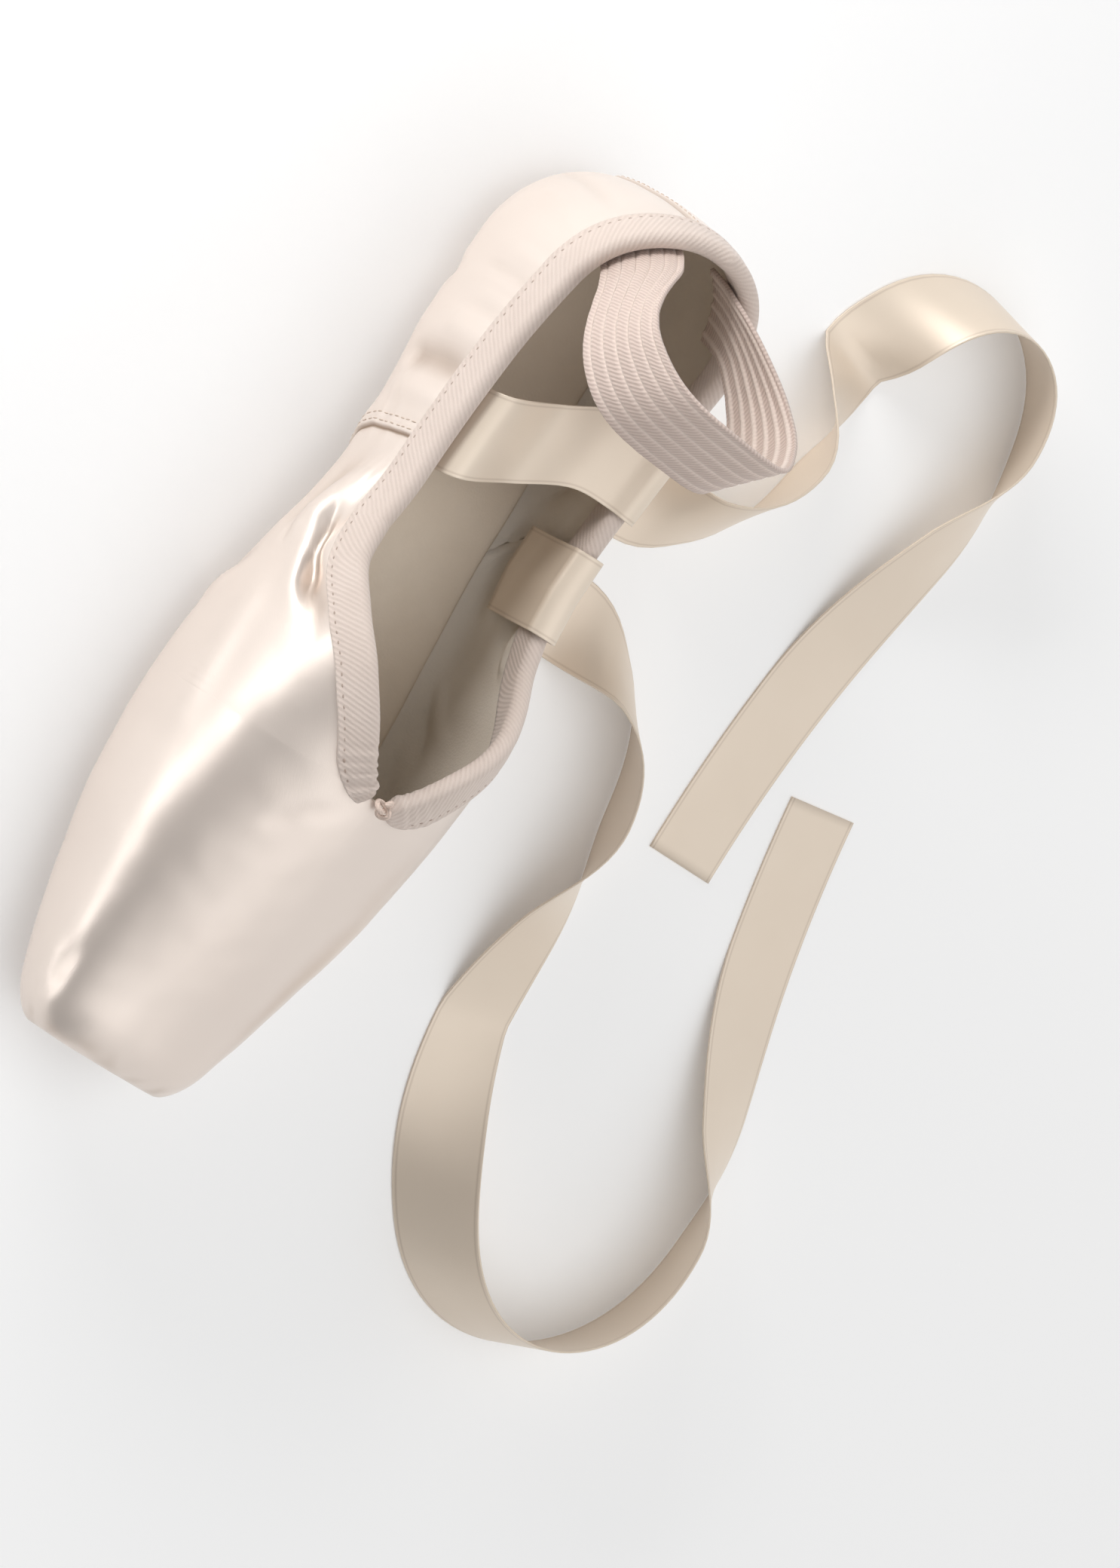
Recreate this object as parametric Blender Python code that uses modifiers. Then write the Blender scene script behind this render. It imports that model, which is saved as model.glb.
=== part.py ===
"""A satin pointe shoe with a leather sole, standing empty and unbent on that sole.

The toe points along +X, +Z is up and the floor is z = 0. Every length along the shoe is measured
from the back of the heel, and the empty that carries the pieces moves the middle of the shoe to x = 0.
The two sides of the shoe are alike, so either foot can wear it.

The upper is drawn on the last. Around the heel its sections stand in planes that fan out from an
upright axis, and from that axis to the toe they stand square to X. A section is half of a rounded
oval, read by an angle: -90 degrees is under the middle of the foot, 0 is the widest line and 90 is
the middle of the instep.
"""

import math

import bmesh
import bpy
import numpy as np
from mathutils import Vector

# The last
SHOE_LENGTH = 0.236
BALL_WIDTH = 0.078
WAIST_WIDTH = 0.057
HEEL_WIDTH = 0.059
PLATFORM_WIDTH = 0.045
PLATFORM_HEIGHT = 0.024
PLATFORM_ROUND = 0.0045
INSTEP_HEIGHT = 0.058
VAMP_LENGTH = 0.083
HEEL_HEIGHT = 0.056
SIDE_HEIGHT = 0.0375
TOE_SPRING = 0.0045
ARCH_LIFT = 0.0030

# The wall of the upper, softer in the quarters than in the paste-hardened box
UPPER_WALL = 0.0018
BOX_WALL = 0.0028
BOX_RAMP = 0.020
SEAM_STEP = 0.0006
SEAM_STEP_RUN = 0.0006
SIDE_SEAM_LAP = 0.0035
SIDE_SEAM_RISE = 0.0012
BACK_STRIP_WIDTH = 0.014
SEAM_FADE = 0.0030

# The leather outsole
SOLE_THICKNESS = 0.0024
SOLE_FOREPART_WIDTH = 0.058
SOLE_WAIST_WIDTH = 0.030
SOLE_HEEL_WIDTH = 0.035
SOLE_TOE_INSET = 0.028
SOLE_HEEL_INSET = 0.013
SOLE_TOE_ROUND = 0.050
SOLE_EDGE_BEVEL = 0.0005
LASTING_MARGIN = 0.010

# The insole
INSOLE_THICKNESS = 0.0020
INSOLE_TOE_INSET = 0.022
INSOLE_SHARE = 0.76

# The twill binding round the collar, and the drawstring knotted in front of it
BINDING_DEPTH = 0.0066
BINDING_THICKNESS = 0.0009
BINDING_ROLL = 0.0022
BINDING_CLEARANCE = 0.0005
THROAT_OPEN = 0.0052
DRAWSTRING_RADIUS = 0.0005
KNOT_RADIUS = 0.0021
KNOT_END_TURN = 0.2

# The elastic over the ankle
ELASTIC_WIDTH = 0.026
ELASTIC_THICKNESS = 0.0012
ELASTIC_SEWN_DEPTH = 0.012
ELASTIC_FROM_BACK = 0.027
ELASTIC_RISE = 0.036
ELASTIC_REACH = 0.036
ELASTIC_SPAN = 0.056
ELASTIC_SLOPE_DEG = 62

# The two satin ribbons
RIBBON_WIDTH = 0.022
RIBBON_THICKNESS = 0.0005
RIBBON_SEWN_DEPTH = 0.022
RIBBON_SAG = 0.005
RIBBON_BEND = 0.006
RIBBON_STAND_OFF = 0.0022
RIBBON_STEP = 0.0030

# Curved pieces that touch are drawn this far apart
GAP = 0.0003

HEEL_AXIS = 0.51 * HEEL_WIDTH
HEEL_ARC = 0.5 * math.pi * HEEL_AXIS
THROAT = SHOE_LENGTH - VAMP_LENGTH
SIDE_LOW = 0.42 * SHOE_LENGTH
SIDE_SEAM = 0.335 * SHOE_LENGTH
PLATFORM_TOP = SOLE_THICKNESS + TOE_SPRING + PLATFORM_HEIGHT
SOLE_LENGTH = SHOE_LENGTH - SOLE_TOE_INSET - SOLE_HEEL_INSET
WIDEST_HEIGHT = 0.30 * INSTEP_HEIGHT
RIBBON_SEWN = 0.305 * SHOE_LENGTH
REAR_RIBBON_OVER = 0.235 * SHOE_LENGTH
FRONT_RIBBON_OVER = 0.375 * SHOE_LENGTH

# One row for each section of the last, from the heel to the toe:
# along in shares of the shoe's length, half width, height of the widest line and of the top in shares
# of the instep's height, lift off the floor, and the squareness of the lower half and of the upper
# half (2 is an ellipse, more is squarer)
LAST = np.array((
    (0.10, 0.500 * HEEL_WIDTH, 0.31, 1.36, 0.0, 3.6, 2.0),
    (0.21, 0.495 * HEEL_WIDTH, 0.31, 1.35, 0.0, 3.8, 2.0),
    (0.36, 0.500 * WAIST_WIDTH, 0.30, 1.30, ARCH_LIFT, 3.6, 2.0),
    (0.49, 0.430 * BALL_WIDTH, 0.29, 1.20, 0.4 * ARCH_LIFT, 3.8, 2.0),
    (0.57, 0.482 * BALL_WIDTH, 0.29, 1.10, 0.0, 4.2, 2.1),
    (0.65, 0.500 * BALL_WIDTH, 0.29, 1.00, 0.0, 4.4, 2.1),
    (0.76, 0.478 * BALL_WIDTH, 0.29, 0.85, 0.0, 4.2, 2.2),
    (0.86, 0.415 * BALL_WIDTH, 0.29, 0.71, 0.3 * TOE_SPRING, 3.8, 2.3),
    (0.94, 0.350 * BALL_WIDTH, 0.30, 0.60, 0.7 * TOE_SPRING, 3.4, 2.5),
    (1.00, 0.500 * PLATFORM_WIDTH, 0.32, PLATFORM_TOP / INSTEP_HEIGHT, TOE_SPRING, 3.2, 2.7),
)) * (SHOE_LENGTH, 1.0, INSTEP_HEIGHT, INSTEP_HEIGHT, 1.0, 1.0, 1.0)
ALONG, HALF_WIDTH, WIDEST, TOP, LIFT, UNDER, OVER = range(7)

# Height of the collar behind its lowest place: share of the way to the back of the heel,
# and share of the rise from the side height to the heel height
TOPLINE = np.array(((0.0, 0.0), (0.12, 0.01), (0.40, 0.17), (0.66, 0.52), (0.86, 0.88), (1.0, 1.0)))

# The throat in front of that place: square root of the share of the way back from its point,
# and share of the angle that the collar has come down from the middle of the instep
THROAT_LINE = np.array(
    ((0.0, 0.0), (0.24, 0.13), (0.47, 0.29), (0.66, 0.52), (0.80, 0.77), (0.91, 0.945), (1.0, 1.0))
)

# The outsole's outline: share of its length from the heel end, and half width
SOLE_OUTLINE = np.array((
    (0.0, 0.50 * SOLE_HEEL_WIDTH),
    (0.10, 0.50 * SOLE_HEEL_WIDTH),
    (0.34, 0.50 * SOLE_WAIST_WIDTH),
    (0.56, 0.37 * SOLE_FOREPART_WIDTH),
    (0.74, 0.50 * SOLE_FOREPART_WIDTH),
    (1.0, 0.50 * SOLE_FOREPART_WIDTH),
))

# Where a ribbon lies on the floor: length of each stretch, how far it turns left in that stretch
# in degrees, and how far its left edge leans up from flat at the stretch's end
REAR_RIBBON_FLOOR = (
    (0.012, 0, 0),
    (0.022, 30, 50),
    (0.030, 50, 72),
    (0.022, 14, 30),
    (0.022, -26, -40),
    (0.038, -78, -74),
    (0.034, -68, -66),
    (0.034, -26, -26),
    (0.050, 8, 0),
    (0.050, 8, 0),
)
FRONT_RIBBON_FLOOR = (
    (0.014, 0, 0),
    (0.026, -30, -52),
    (0.034, -48, -70),
    (0.034, -12, -24),
    (0.040, 14, 14),
    (0.036, 26, 52),
    (0.054, 74, 74),
    (0.050, 66, 66),
    (0.034, 24, 24),
    (0.046, -8, 0),
    (0.036, -6, 0),
)


def smooth(rows, column, at):
    """A column of a table between its rows, without overshooting them."""
    x, y = rows[:, 0], rows[:, column]
    step = np.diff(x)
    slope = np.diff(y) / step
    tangent = np.zeros_like(y)
    before, after = slope[:-1], slope[1:]
    same_way = before * after > 0
    weight = (2 * step[1:] + step[:-1], step[1:] + 2 * step[:-1])
    inner = (weight[0] + weight[1])[same_way] / (
        weight[0][same_way] / before[same_way] + weight[1][same_way] / after[same_way]
    )
    tangent[1:-1][same_way] = inner
    tangent[0], tangent[-1] = slope[0], slope[-1]
    at = np.clip(at, x[0], x[-1])
    i = np.clip(np.searchsorted(x, at) - 1, 0, len(step) - 1)
    t = (at - x[i]) / step[i]
    return (
        (1 + 2 * t) * (1 - t) ** 2 * y[i]
        + t * (1 - t) ** 2 * step[i] * tangent[i]
        + t * t * (3 - 2 * t) * y[i + 1]
        + t * t * (t - 1) * step[i] * tangent[i + 1]
    )


def fade(value, start, end):
    """0 at start and 1 at end, with a soft change between them."""
    t = np.clip((value - start) / (end - start), 0.0, 1.0)
    return t * t * (3 - 2 * t)


def power(value, exponent):
    """A signed power, so that one formula serves both halves of a section."""
    return np.sign(value) * np.abs(value) ** exponent


def section(s):
    """The section at s: the distance in front of the heel axis, or behind it along the heel's arc."""
    turn = np.clip(1 + s / HEEL_ARC, 0.0, 1.0) * 0.5 * math.pi
    x = np.where(s > 0, HEEL_AXIS + s, HEEL_AXIS)
    half_width = smooth(LAST, HALF_WIDTH, x)
    reach = np.where(s > 0, half_width, np.hypot(HEEL_AXIS * np.cos(turn), half_width * np.sin(turn)))
    bottom = SOLE_THICKNESS + smooth(LAST, LIFT, x)
    middle = smooth(LAST, WIDEST, x)
    return {
        "x": x,
        "out": (-np.cos(turn), np.sin(turn)),
        "reach": reach,
        "middle": middle,
        "below": middle - bottom,
        "above": smooth(LAST, TOP, x) - middle,
        "under": smooth(LAST, UNDER, x),
        "over": smooth(LAST, OVER, x),
    }


def skin(s, angle, inset=0.0):
    """The point of the last's surface at s and at that angle of the section, in radians."""
    part = section(s)
    exponent = 2 / np.where(angle < 0, part["under"], part["over"])
    height = np.where(angle < 0, part["below"], part["above"]) - inset
    r = (part["reach"] - inset) * np.abs(np.cos(angle)) ** exponent
    z = part["middle"] + height * power(np.sin(angle), exponent)
    return np.stack([part["x"] + r * part["out"][0], r * part["out"][1], z], axis=-1)


def skin_normal(s, angle):
    """The outward direction of the last's surface."""
    ds, da = 2e-4, 4e-3
    low, high = max(angle - da, -0.5 * math.pi), min(angle + da, 0.5 * math.pi)
    along = skin(np.float64(s + ds), np.float64(angle)) - skin(np.float64(s - ds), np.float64(angle))
    up = skin(np.float64(s), np.float64(high)) - skin(np.float64(s), np.float64(low))
    return Vector(np.cross(up, along)).normalized()


def locate(point):
    """The s and the angle of the skin point that lies nearest to a point beside it."""
    x, y, z = point
    if x >= HEEL_AXIS:
        s, r = x - HEEL_AXIS, y
    else:
        s = HEEL_ARC * (math.atan2(y, HEEL_AXIS - x) / (0.5 * math.pi) - 1)
        r = math.hypot(HEEL_AXIS - x, y)
    part = section(np.float64(s))
    rise = z - part["middle"]
    half, exponent = (part["above"], part["over"]) if rise > 0 else (part["below"], part["under"])
    up = (abs(rise) / half) ** (0.5 * exponent)
    out = (max(r, 0.0) / part["reach"]) ** (0.5 * exponent)
    return s, math.copysign(math.atan2(up, out), rise)


def height_angle(s, height):
    """The angle at which the upper half of a section reaches a height."""
    part = section(s)
    share = np.clip((height - part["middle"]) / part["above"], 0.0, 1.0)
    return np.arcsin(share ** (0.5 * part["over"]))


def collar_angle(s):
    """The angle at which the collar cuts the section at s; 90 degrees in front of the throat."""
    side_low = SIDE_LOW - HEEL_AXIS
    throat = THROAT - HEEL_AXIS
    back = np.clip((side_low - s) / (side_low + HEEL_ARC), 0.0, 1.0)
    height = SIDE_HEIGHT + (HEEL_HEIGHT - SIDE_HEIGHT) * smooth(TOPLINE, 1, back)
    lowest = height_angle(np.float64(side_low), SIDE_HEIGHT)
    share = np.sqrt(np.clip((throat - s) / (throat - side_low), 0.0, 1.0))
    down = smooth(THROAT_LINE, 1, share)
    front = 0.5 * math.pi - (0.5 * math.pi - lowest) * down
    return np.where(s < side_low, height_angle(s, height), front)


def sole_half_width(x):
    """Half the outsole's width at x, with a round heel end and a long round toe end."""
    share = np.clip((x - SOLE_HEEL_INSET) / SOLE_LENGTH, 0.0, 1.0)
    heel_cap = 0.5 * SOLE_HEEL_WIDTH
    toe_start = SHOE_LENGTH - SOLE_TOE_INSET - SOLE_TOE_ROUND
    heel = np.clip((SOLE_HEEL_INSET + heel_cap - x) / heel_cap, 0.0, 1.0)
    toe = np.clip((x - toe_start) / SOLE_TOE_ROUND, 0.0, 1.0)
    return smooth(SOLE_OUTLINE, 1, share) * np.sqrt(1 - heel**2) * np.sqrt(1 - toe**2)


def lasting_edge(s):
    """How far the edge of the opening under the foot lies from the middle of the section at s."""
    behind = HEEL_AXIS - SOLE_HEEL_INSET - LASTING_MARGIN
    beside = sole_half_width(HEEL_AXIS) - LASTING_MARGIN
    turn = np.clip(1 + s / HEEL_ARC, 0.0, 1.0) * 0.5 * math.pi
    round_heel = np.hypot(behind * np.cos(turn), beside * np.sin(turn))
    return np.where(s > 0, opening_half_width(HEEL_AXIS + s), round_heel)


def opening_half_width(x):
    """Half the width of the opening under the foot, which follows the outsole inside the lasting margin."""
    toe_end = SHOE_LENGTH - SOLE_TOE_INSET - LASTING_MARGIN
    toe_cap = SOLE_TOE_ROUND - LASTING_MARGIN
    toe = np.clip((x - toe_end + toe_cap) / toe_cap, 0.0, 1.0)
    straight = np.minimum(x, toe_end - toe_cap)
    return np.maximum(sole_half_width(straight) - LASTING_MARGIN, 0.0) * np.sqrt(1 - toe**2)


def lasting_angle(s):
    """The angle at which the opening under the foot cuts the section at s."""
    part = section(s)
    share = np.clip(lasting_edge(s) / part["reach"], 0.0, 1.0)
    return -np.arccos(share ** (0.5 * part["under"]))


def evenly(low, high, s, count, inset=0.0):
    """Angles that divide the section at s into stretches of equal length."""
    fine = np.linspace(low, high, 40 * count)
    points = skin(np.full(len(fine), s), fine, inset)
    length = np.concatenate([[0], np.cumsum(np.linalg.norm(np.diff(points, axis=0), axis=1))])
    return np.interp(np.linspace(0, length[-1], count + 1), length, fine)


# Blender helpers

def material(name, colour, roughness, metallic=0.0):
    """A plain Principled finish."""
    made = bpy.data.materials.new(name)
    made.use_nodes = True
    shader = made.node_tree.nodes["Principled BSDF"]
    shader.inputs["Base Color"].default_value = (*colour, 1.0)
    shader.inputs["Roughness"].default_value = roughness
    shader.inputs["Metallic"].default_value = metallic
    return made


def piece(name, mesh, finish, carrier, collection):
    """An object made from a bmesh, standing on the carrier."""
    bmesh.ops.remove_doubles(mesh, verts=mesh.verts, dist=1e-6)
    bmesh.ops.dissolve_degenerate(mesh, edges=mesh.edges, dist=1e-6)
    data = bpy.data.meshes.new(name)
    mesh.to_mesh(data)
    mesh.free()
    data.materials.append(finish)
    made = bpy.data.objects.new(name, data)
    collection.objects.link(made)
    made.parent = carrier
    return made


def mirrored(made):
    """The other half of the shoe."""
    mirror = made.modifiers.new("other_half", "MIRROR")
    mirror.use_axis = (False, True, False)
    mirror.merge_threshold = 0.00005


def round_shaded(made, degrees=40):
    """Smooth shading, with the true edges kept."""
    made.data.shade_smooth()
    made.data.set_sharp_from_angle(angle=math.radians(degrees))


def loft(rings, closed_rings, caps=()):
    """A bmesh with faces between rings of points; caps holds 0 and -1 for the ends to close."""
    mesh = bmesh.new()
    verts = [[mesh.verts.new(point) for point in ring] for ring in rings]
    for first, second in zip(verts, verts[1:]):
        count = len(first) if closed_rings else len(first) - 1
        for i in range(count):
            j = (i + 1) % len(first)
            mesh.faces.new((first[i], first[j], second[j], second[i]))
    for end in caps:
        mesh.faces.new(verts[end] if end else verts[end][::-1])
    return mesh


def facing_out(mesh):
    """Turns the faces of a closed mesh outwards."""
    bmesh.ops.recalc_face_normals(mesh, faces=mesh.faces)
    if mesh.calc_volume(signed=True) < 0:
        bmesh.ops.reverse_faces(mesh, faces=mesh.faces)


# The upper

ROWS = 14


def seam_stations():
    """The sections that carry the steps of the side seam."""
    edge = SIDE_SEAM - HEEL_AXIS
    half_run = 0.5 * SEAM_STEP_RUN
    lap = edge - SIDE_SEAM_LAP
    return [lap - SIDE_SEAM_RISE, lap, edge - half_run, edge + half_run]


def strip_stations():
    """The sections that carry the steps of the back strip."""
    edge = 0.5 * BACK_STRIP_WIDTH - HEEL_ARC
    half_run = 0.5 * SEAM_STEP_RUN
    return [edge - half_run, edge + half_run]


def collar_stations():
    """The s of the sections that the collar cuts, closer together near its point at the throat."""
    throat = THROAT - HEEL_AXIS
    side_low = SIDE_LOW - HEEL_AXIS
    heel = np.linspace(-HEEL_ARC, 0, 9)[:-1]
    quarter = np.linspace(0, side_low, 9)[:-1]
    opening = throat - (throat - side_low) * (1 - np.linspace(0, 1, 13)[:-1]) ** 1.7
    return np.concatenate([heel, quarter, opening])


def upper_stations():
    """The s of every section of the upper, from the back of the heel to the start of the platform's edge."""
    vamp = np.linspace(THROAT, SHOE_LENGTH - PLATFORM_ROUND, 10) - HEEL_AXIS
    plain = np.concatenate([collar_stations(), vamp])
    extra = np.array(seam_stations() + strip_stations())
    clear = np.abs(plain[:, None] - extra[None, :]).min(axis=1) > 0.0016
    clear[0] = True
    return np.sort(np.concatenate([plain[clear], extra]))


def relief(s, point, collar_point):
    """How far the side seam's lap and the back strip stand off the upper, beside the binding and the sole."""
    edge = SIDE_SEAM - HEEL_AXIS
    lap = float(edge - SIDE_SEAM_LAP - 0.0001 < s < edge)
    strip = float(s < -HEEL_ARC + 0.5 * BACK_STRIP_WIDTH)
    below = (collar_point - point).length - BINDING_DEPTH
    below_binding = fade(below, SEAM_STEP_RUN, SEAM_STEP_RUN + SEAM_FADE)
    above = point.z - SOLE_THICKNESS - ARCH_LIFT
    above_sole = fade(above, 0.0, SEAM_FADE)
    return SEAM_STEP * (lap + strip) * below_binding * above_sole


def upper_half():
    """Rows of points over one half of the upper: the body, the platform's round edge and its flat face."""
    columns = []
    for s in upper_stations():
        angles = evenly(lasting_angle(s), collar_angle(s), s, ROWS)
        points = [Vector(p) for p in skin(np.full(ROWS + 1, s), angles)]
        column = []
        for point, angle in zip(points, angles):
            offset = relief(s, point, points[-1])
            column.append(point + skin_normal(s, angle) * offset if offset else point)
        columns.append(column)
    end = SHOE_LENGTH - HEEL_AXIS
    right_angle = 0.5 * math.pi
    for turn in (30, 60, 90):
        inset = PLATFORM_ROUND * (1 - math.cos(math.radians(turn)))
        angles = evenly(-right_angle, right_angle, end, ROWS, inset)
        ring = skin(np.full(ROWS + 1, end), angles, inset)
        ring[:, 0] = SHOE_LENGTH - PLATFORM_ROUND + PLATFORM_ROUND * math.sin(math.radians(turn))
        columns.append([Vector(p) for p in ring])
    centre = Vector((SHOE_LENGTH, 0.0, 0.5 * (columns[-1][0].z + columns[-1][-1].z)))
    face = columns[-1]
    columns.append([centre.lerp(p, 0.5) for p in face])
    columns.append([centre.copy() for _ in face])
    for column in columns:
        for point in column:
            point.y = 0.0 if abs(point.y) < 1e-6 else point.y
    return columns


def make_upper(finish, carrier, collection):
    """The hollow upper: its outer skin, mirrored, with a wall laid on the inside of it."""
    mesh = loft(upper_half(), closed_rings=False)
    made = piece("upper", mesh, finish, carrier, collection)
    box = made.vertex_groups.new(name="box")
    for vertex in made.data.vertices:
        weight = float(fade(vertex.co.x, THROAT + BINDING_DEPTH, THROAT + BINDING_DEPTH + BOX_RAMP))
        box.add([vertex.index], weight, "REPLACE")
    mirrored(made)
    wall = made.modifiers.new("wall", "SOLIDIFY")
    wall.thickness = BOX_WALL
    wall.thickness_vertex_group = UPPER_WALL / BOX_WALL
    wall.vertex_group = "box"
    wall.offset = -1.0
    wall.use_even_offset = True
    round_shaded(made)
    return made


# The outsole and the insole

def underside(x, y):
    """The height of the upper's underside at x and y."""
    behind = x < HEEL_AXIS
    s = HEEL_ARC * (math.atan2(abs(y), HEEL_AXIS - x) / (0.5 * math.pi) - 1) if behind else x - HEEL_AXIS
    r = math.hypot(HEEL_AXIS - x, y) if behind else abs(y)
    part = section(np.float64(s))
    share = min(r / float(part["reach"]), 1.0)
    return float(part["middle"] - part["below"] * (1 - share ** part["under"]) ** (1 / part["under"]))


def slab(outline, top, bottom, bevel, across=(-1.0, -0.72, -0.36, 0.0, 0.36, 0.72, 1.0)):
    """A closed plate with a symmetric outline of (x, half width), between two functions of x and y."""
    rings = []
    for x, half in outline:
        over = [Vector((x, share * half, top(x, share * half))) for share in across]
        inner = [share * max(half - bevel, 0.0) for share in across]
        under = [Vector((x, y, bottom(x, y))) for y in reversed(inner)]
        edge = half and min(bevel, 0.3 * (over[0].z - under[-1].z))
        sides = [[Vector((x, sign * half, bottom(x, sign * half) + edge))] for sign in (1, -1)]
        rings.append(over + sides[0] + under + sides[1])
    mesh = loft(rings, closed_rings=True, caps=(0, -1))
    bmesh.ops.remove_doubles(mesh, verts=mesh.verts, dist=1e-6)
    bmesh.ops.dissolve_degenerate(mesh, edges=mesh.edges, dist=1e-6)
    facing_out(mesh)
    return mesh


def make_outsole(finish, carrier, collection):
    """The leather outsole: flat on the floor at heel and forepart, its top pressed to the upper."""
    share = 0.5 - 0.5 * np.cos(np.linspace(0, math.pi, 34))
    ends = 0.0004
    x = SOLE_HEEL_INSET + ends + (SOLE_LENGTH - 2 * ends) * share
    outline = [(float(a), float(sole_half_width(a))) for a in x]
    mesh = slab(
        outline,
        top=lambda a, b: underside(a, b) - GAP,
        bottom=lambda a, b: float(smooth(LAST, LIFT, np.float64(max(a, HEEL_AXIS)))),
        bevel=SOLE_EDGE_BEVEL,
    )
    made = piece("outsole", mesh, finish, carrier, collection)
    round_shaded(made, 30)
    return made


def box_wall(x):
    """The thickness of the upper's wall at x."""
    ramp = float(fade(x, THROAT + BINDING_DEPTH, THROAT + BINDING_DEPTH + BOX_RAMP))
    return UPPER_WALL + (BOX_WALL - UPPER_WALL) * ramp


def inner_floor(x, y):
    """The height at which the insole lies on the lasting margin."""
    return underside(x, y) + box_wall(x) + 2 * GAP


def insole_outline():
    """The insole's outline, which follows the inside of the upper where its floor turns up."""
    outline = []
    heel_reach = INSOLE_SHARE * HEEL_AXIS
    for turn in np.radians(np.linspace(0, 90, 9)[:-1]):
        side = INSOLE_SHARE * float(smooth(LAST, HALF_WIDTH, np.float64(HEEL_AXIS)))
        outline.append((HEEL_AXIS - heel_reach * math.cos(turn), side * math.sin(turn)))
    toe = SHOE_LENGTH - INSOLE_TOE_INSET
    toe_round = 0.4 * BALL_WIDTH
    for x in HEEL_AXIS + (toe - HEEL_AXIS) * np.sin(np.linspace(0, 0.5 * math.pi, 18)):
        half = INSOLE_SHARE * float(smooth(LAST, HALF_WIDTH, np.float64(x)))
        cap = np.clip((x - toe + toe_round) / toe_round, 0.0, 1.0)
        outline.append((float(x), float(half * math.sqrt(1 - cap**2))))
    return outline


def core_outline():
    """The outline of the core, just inside the opening of the lasting margin."""
    heel_end = SOLE_HEEL_INSET + LASTING_MARGIN + 2 * GAP
    toe_end = SHOE_LENGTH - SOLE_TOE_INSET - LASTING_MARGIN - 2 * GAP
    heel_radius = HEEL_AXIS - heel_end
    along = np.maximum(upper_stations(), 0.0) + HEEL_AXIS
    cut = opening_half_width(along)
    outline = []
    for share in 0.5 - 0.5 * np.cos(np.linspace(0, math.pi, 20)):
        x = float(heel_end + (toe_end - heel_end) * share)
        half = max(float(np.interp(x, along, cut)) - 3 * GAP, 0.0)
        round_heel = math.sqrt(max(heel_radius**2 - max(HEEL_AXIS - x, 0.0) ** 2, 0.0))
        outline.append((x, min(half, round_heel) if x < HEEL_AXIS else half))
    return outline


def make_insole(finish, carrier, collection, helpers):
    """The insole: a board on the lasting margin, with a core that fills the opening down to the outsole."""
    board = slab(
        insole_outline(),
        top=lambda x, y: inner_floor(x, y) + INSOLE_THICKNESS,
        bottom=inner_floor,
        bevel=0.0,
    )
    made = piece("insole", board, finish, carrier, collection)
    core = slab(
        core_outline(),
        top=lambda x, y: inner_floor(x, 0.0) + 0.5 * INSOLE_THICKNESS,
        bottom=lambda x, y: underside(x, 0.0) + GAP,
        bevel=0.0,
        across=(-1.0, 0.0, 1.0),
    )
    plug = piece("insole_core", core, finish, carrier, helpers)
    plug.hide_render = True
    plug.display_type = "WIRE"
    join = made.modifiers.new("core", "BOOLEAN")
    join.operation = "UNION"
    join.object = plug
    round_shaded(made, 30)
    return made


# The binding and the drawstring

class Collar:
    """The collar's edge at s on one side: its point, and the directions along, out of and up off the wall."""

    def __init__(self, s, side=1):
        step = 2e-4
        ahead, behind = (self.edge(s + step), self.edge(s - step))
        self.side = side
        self.s = s
        self.point = self.edge(s)
        self.out = skin_normal(s, float(collar_angle(np.float64(s))))
        self.along = (ahead - behind).normalized()
        self.up = self.along.cross(self.out).normalized()
        if self.up.dot(skin_rise(s)) < 0:
            self.up.negate()

    @staticmethod
    def edge(s):
        """The collar's point at s on the +Y side, carried on past the back of the heel and the throat."""
        low, high = -HEEL_ARC, THROAT - HEEL_AXIS
        inside = min(max(2 * low - s if s < low else s, low), 2 * high - s if s > high else high)
        point = Vector(skin(np.float64(inside), collar_angle(np.float64(inside))))
        if s < low or s > high:
            point.y = -point.y
        return point

    def at(self, rise, offset):
        """A point rise above the edge, or down the wall where it is negative, and offset outwards."""
        if rise >= 0:
            point = self.point + self.up * rise + self.out * offset
        else:
            foot = self.point + self.up * rise
            foot.y = max(foot.y, 0.0)
            s, angle = locate(foot)
            s = max(s, -HEEL_ARC)
            point = Vector(skin(np.float64(s), np.float64(angle))) + skin_normal(s, angle) * offset
        return Vector((point.x, self.side * point.y, point.z))


def skin_rise(s):
    """The direction from the wall towards the collar's edge at s."""
    angle = float(collar_angle(np.float64(s)))
    low = Vector(skin(np.float64(s), np.float64(angle - 0.02)))
    towards = Vector(skin(np.float64(s), np.float64(angle))) - low
    forward = max(0.0, 1 - (THROAT - HEEL_AXIS - s) / 0.004)
    return towards.normalized() * (1 - forward) - Vector((1.0, 0.0, 0.0)) * forward


def binding_profile():
    """The binding's section, as (rise, offset) pairs: two legs beside the wall and a roll over its edge."""
    outer, inner = BINDING_CLEARANCE, -UPPER_WALL - BINDING_CLEARANCE
    outer_face, inner_face = outer + BINDING_THICKNESS, inner - BINDING_THICKNESS
    middle = 0.5 * (outer_face + inner_face)
    half = 0.5 * (outer_face - inner_face)
    roll = [
        (GAP + BINDING_ROLL * math.sin(math.radians(a)), middle + half * math.cos(math.radians(a)))
        for a in (0, 40, 90, 140, 180)
    ]
    legs = (1.0, 0.5)
    down = [(-BINDING_DEPTH * share, outer_face) for share in legs]
    up = [(-BINDING_DEPTH * share, inner_face) for share in reversed(legs)]
    back = [(-BINDING_DEPTH * share, inner) for share in legs]
    under = [(GAP, inner), (GAP, outer)]
    return down + roll + up + back + under + [(-BINDING_DEPTH * share, outer) for share in reversed(legs)]


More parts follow.
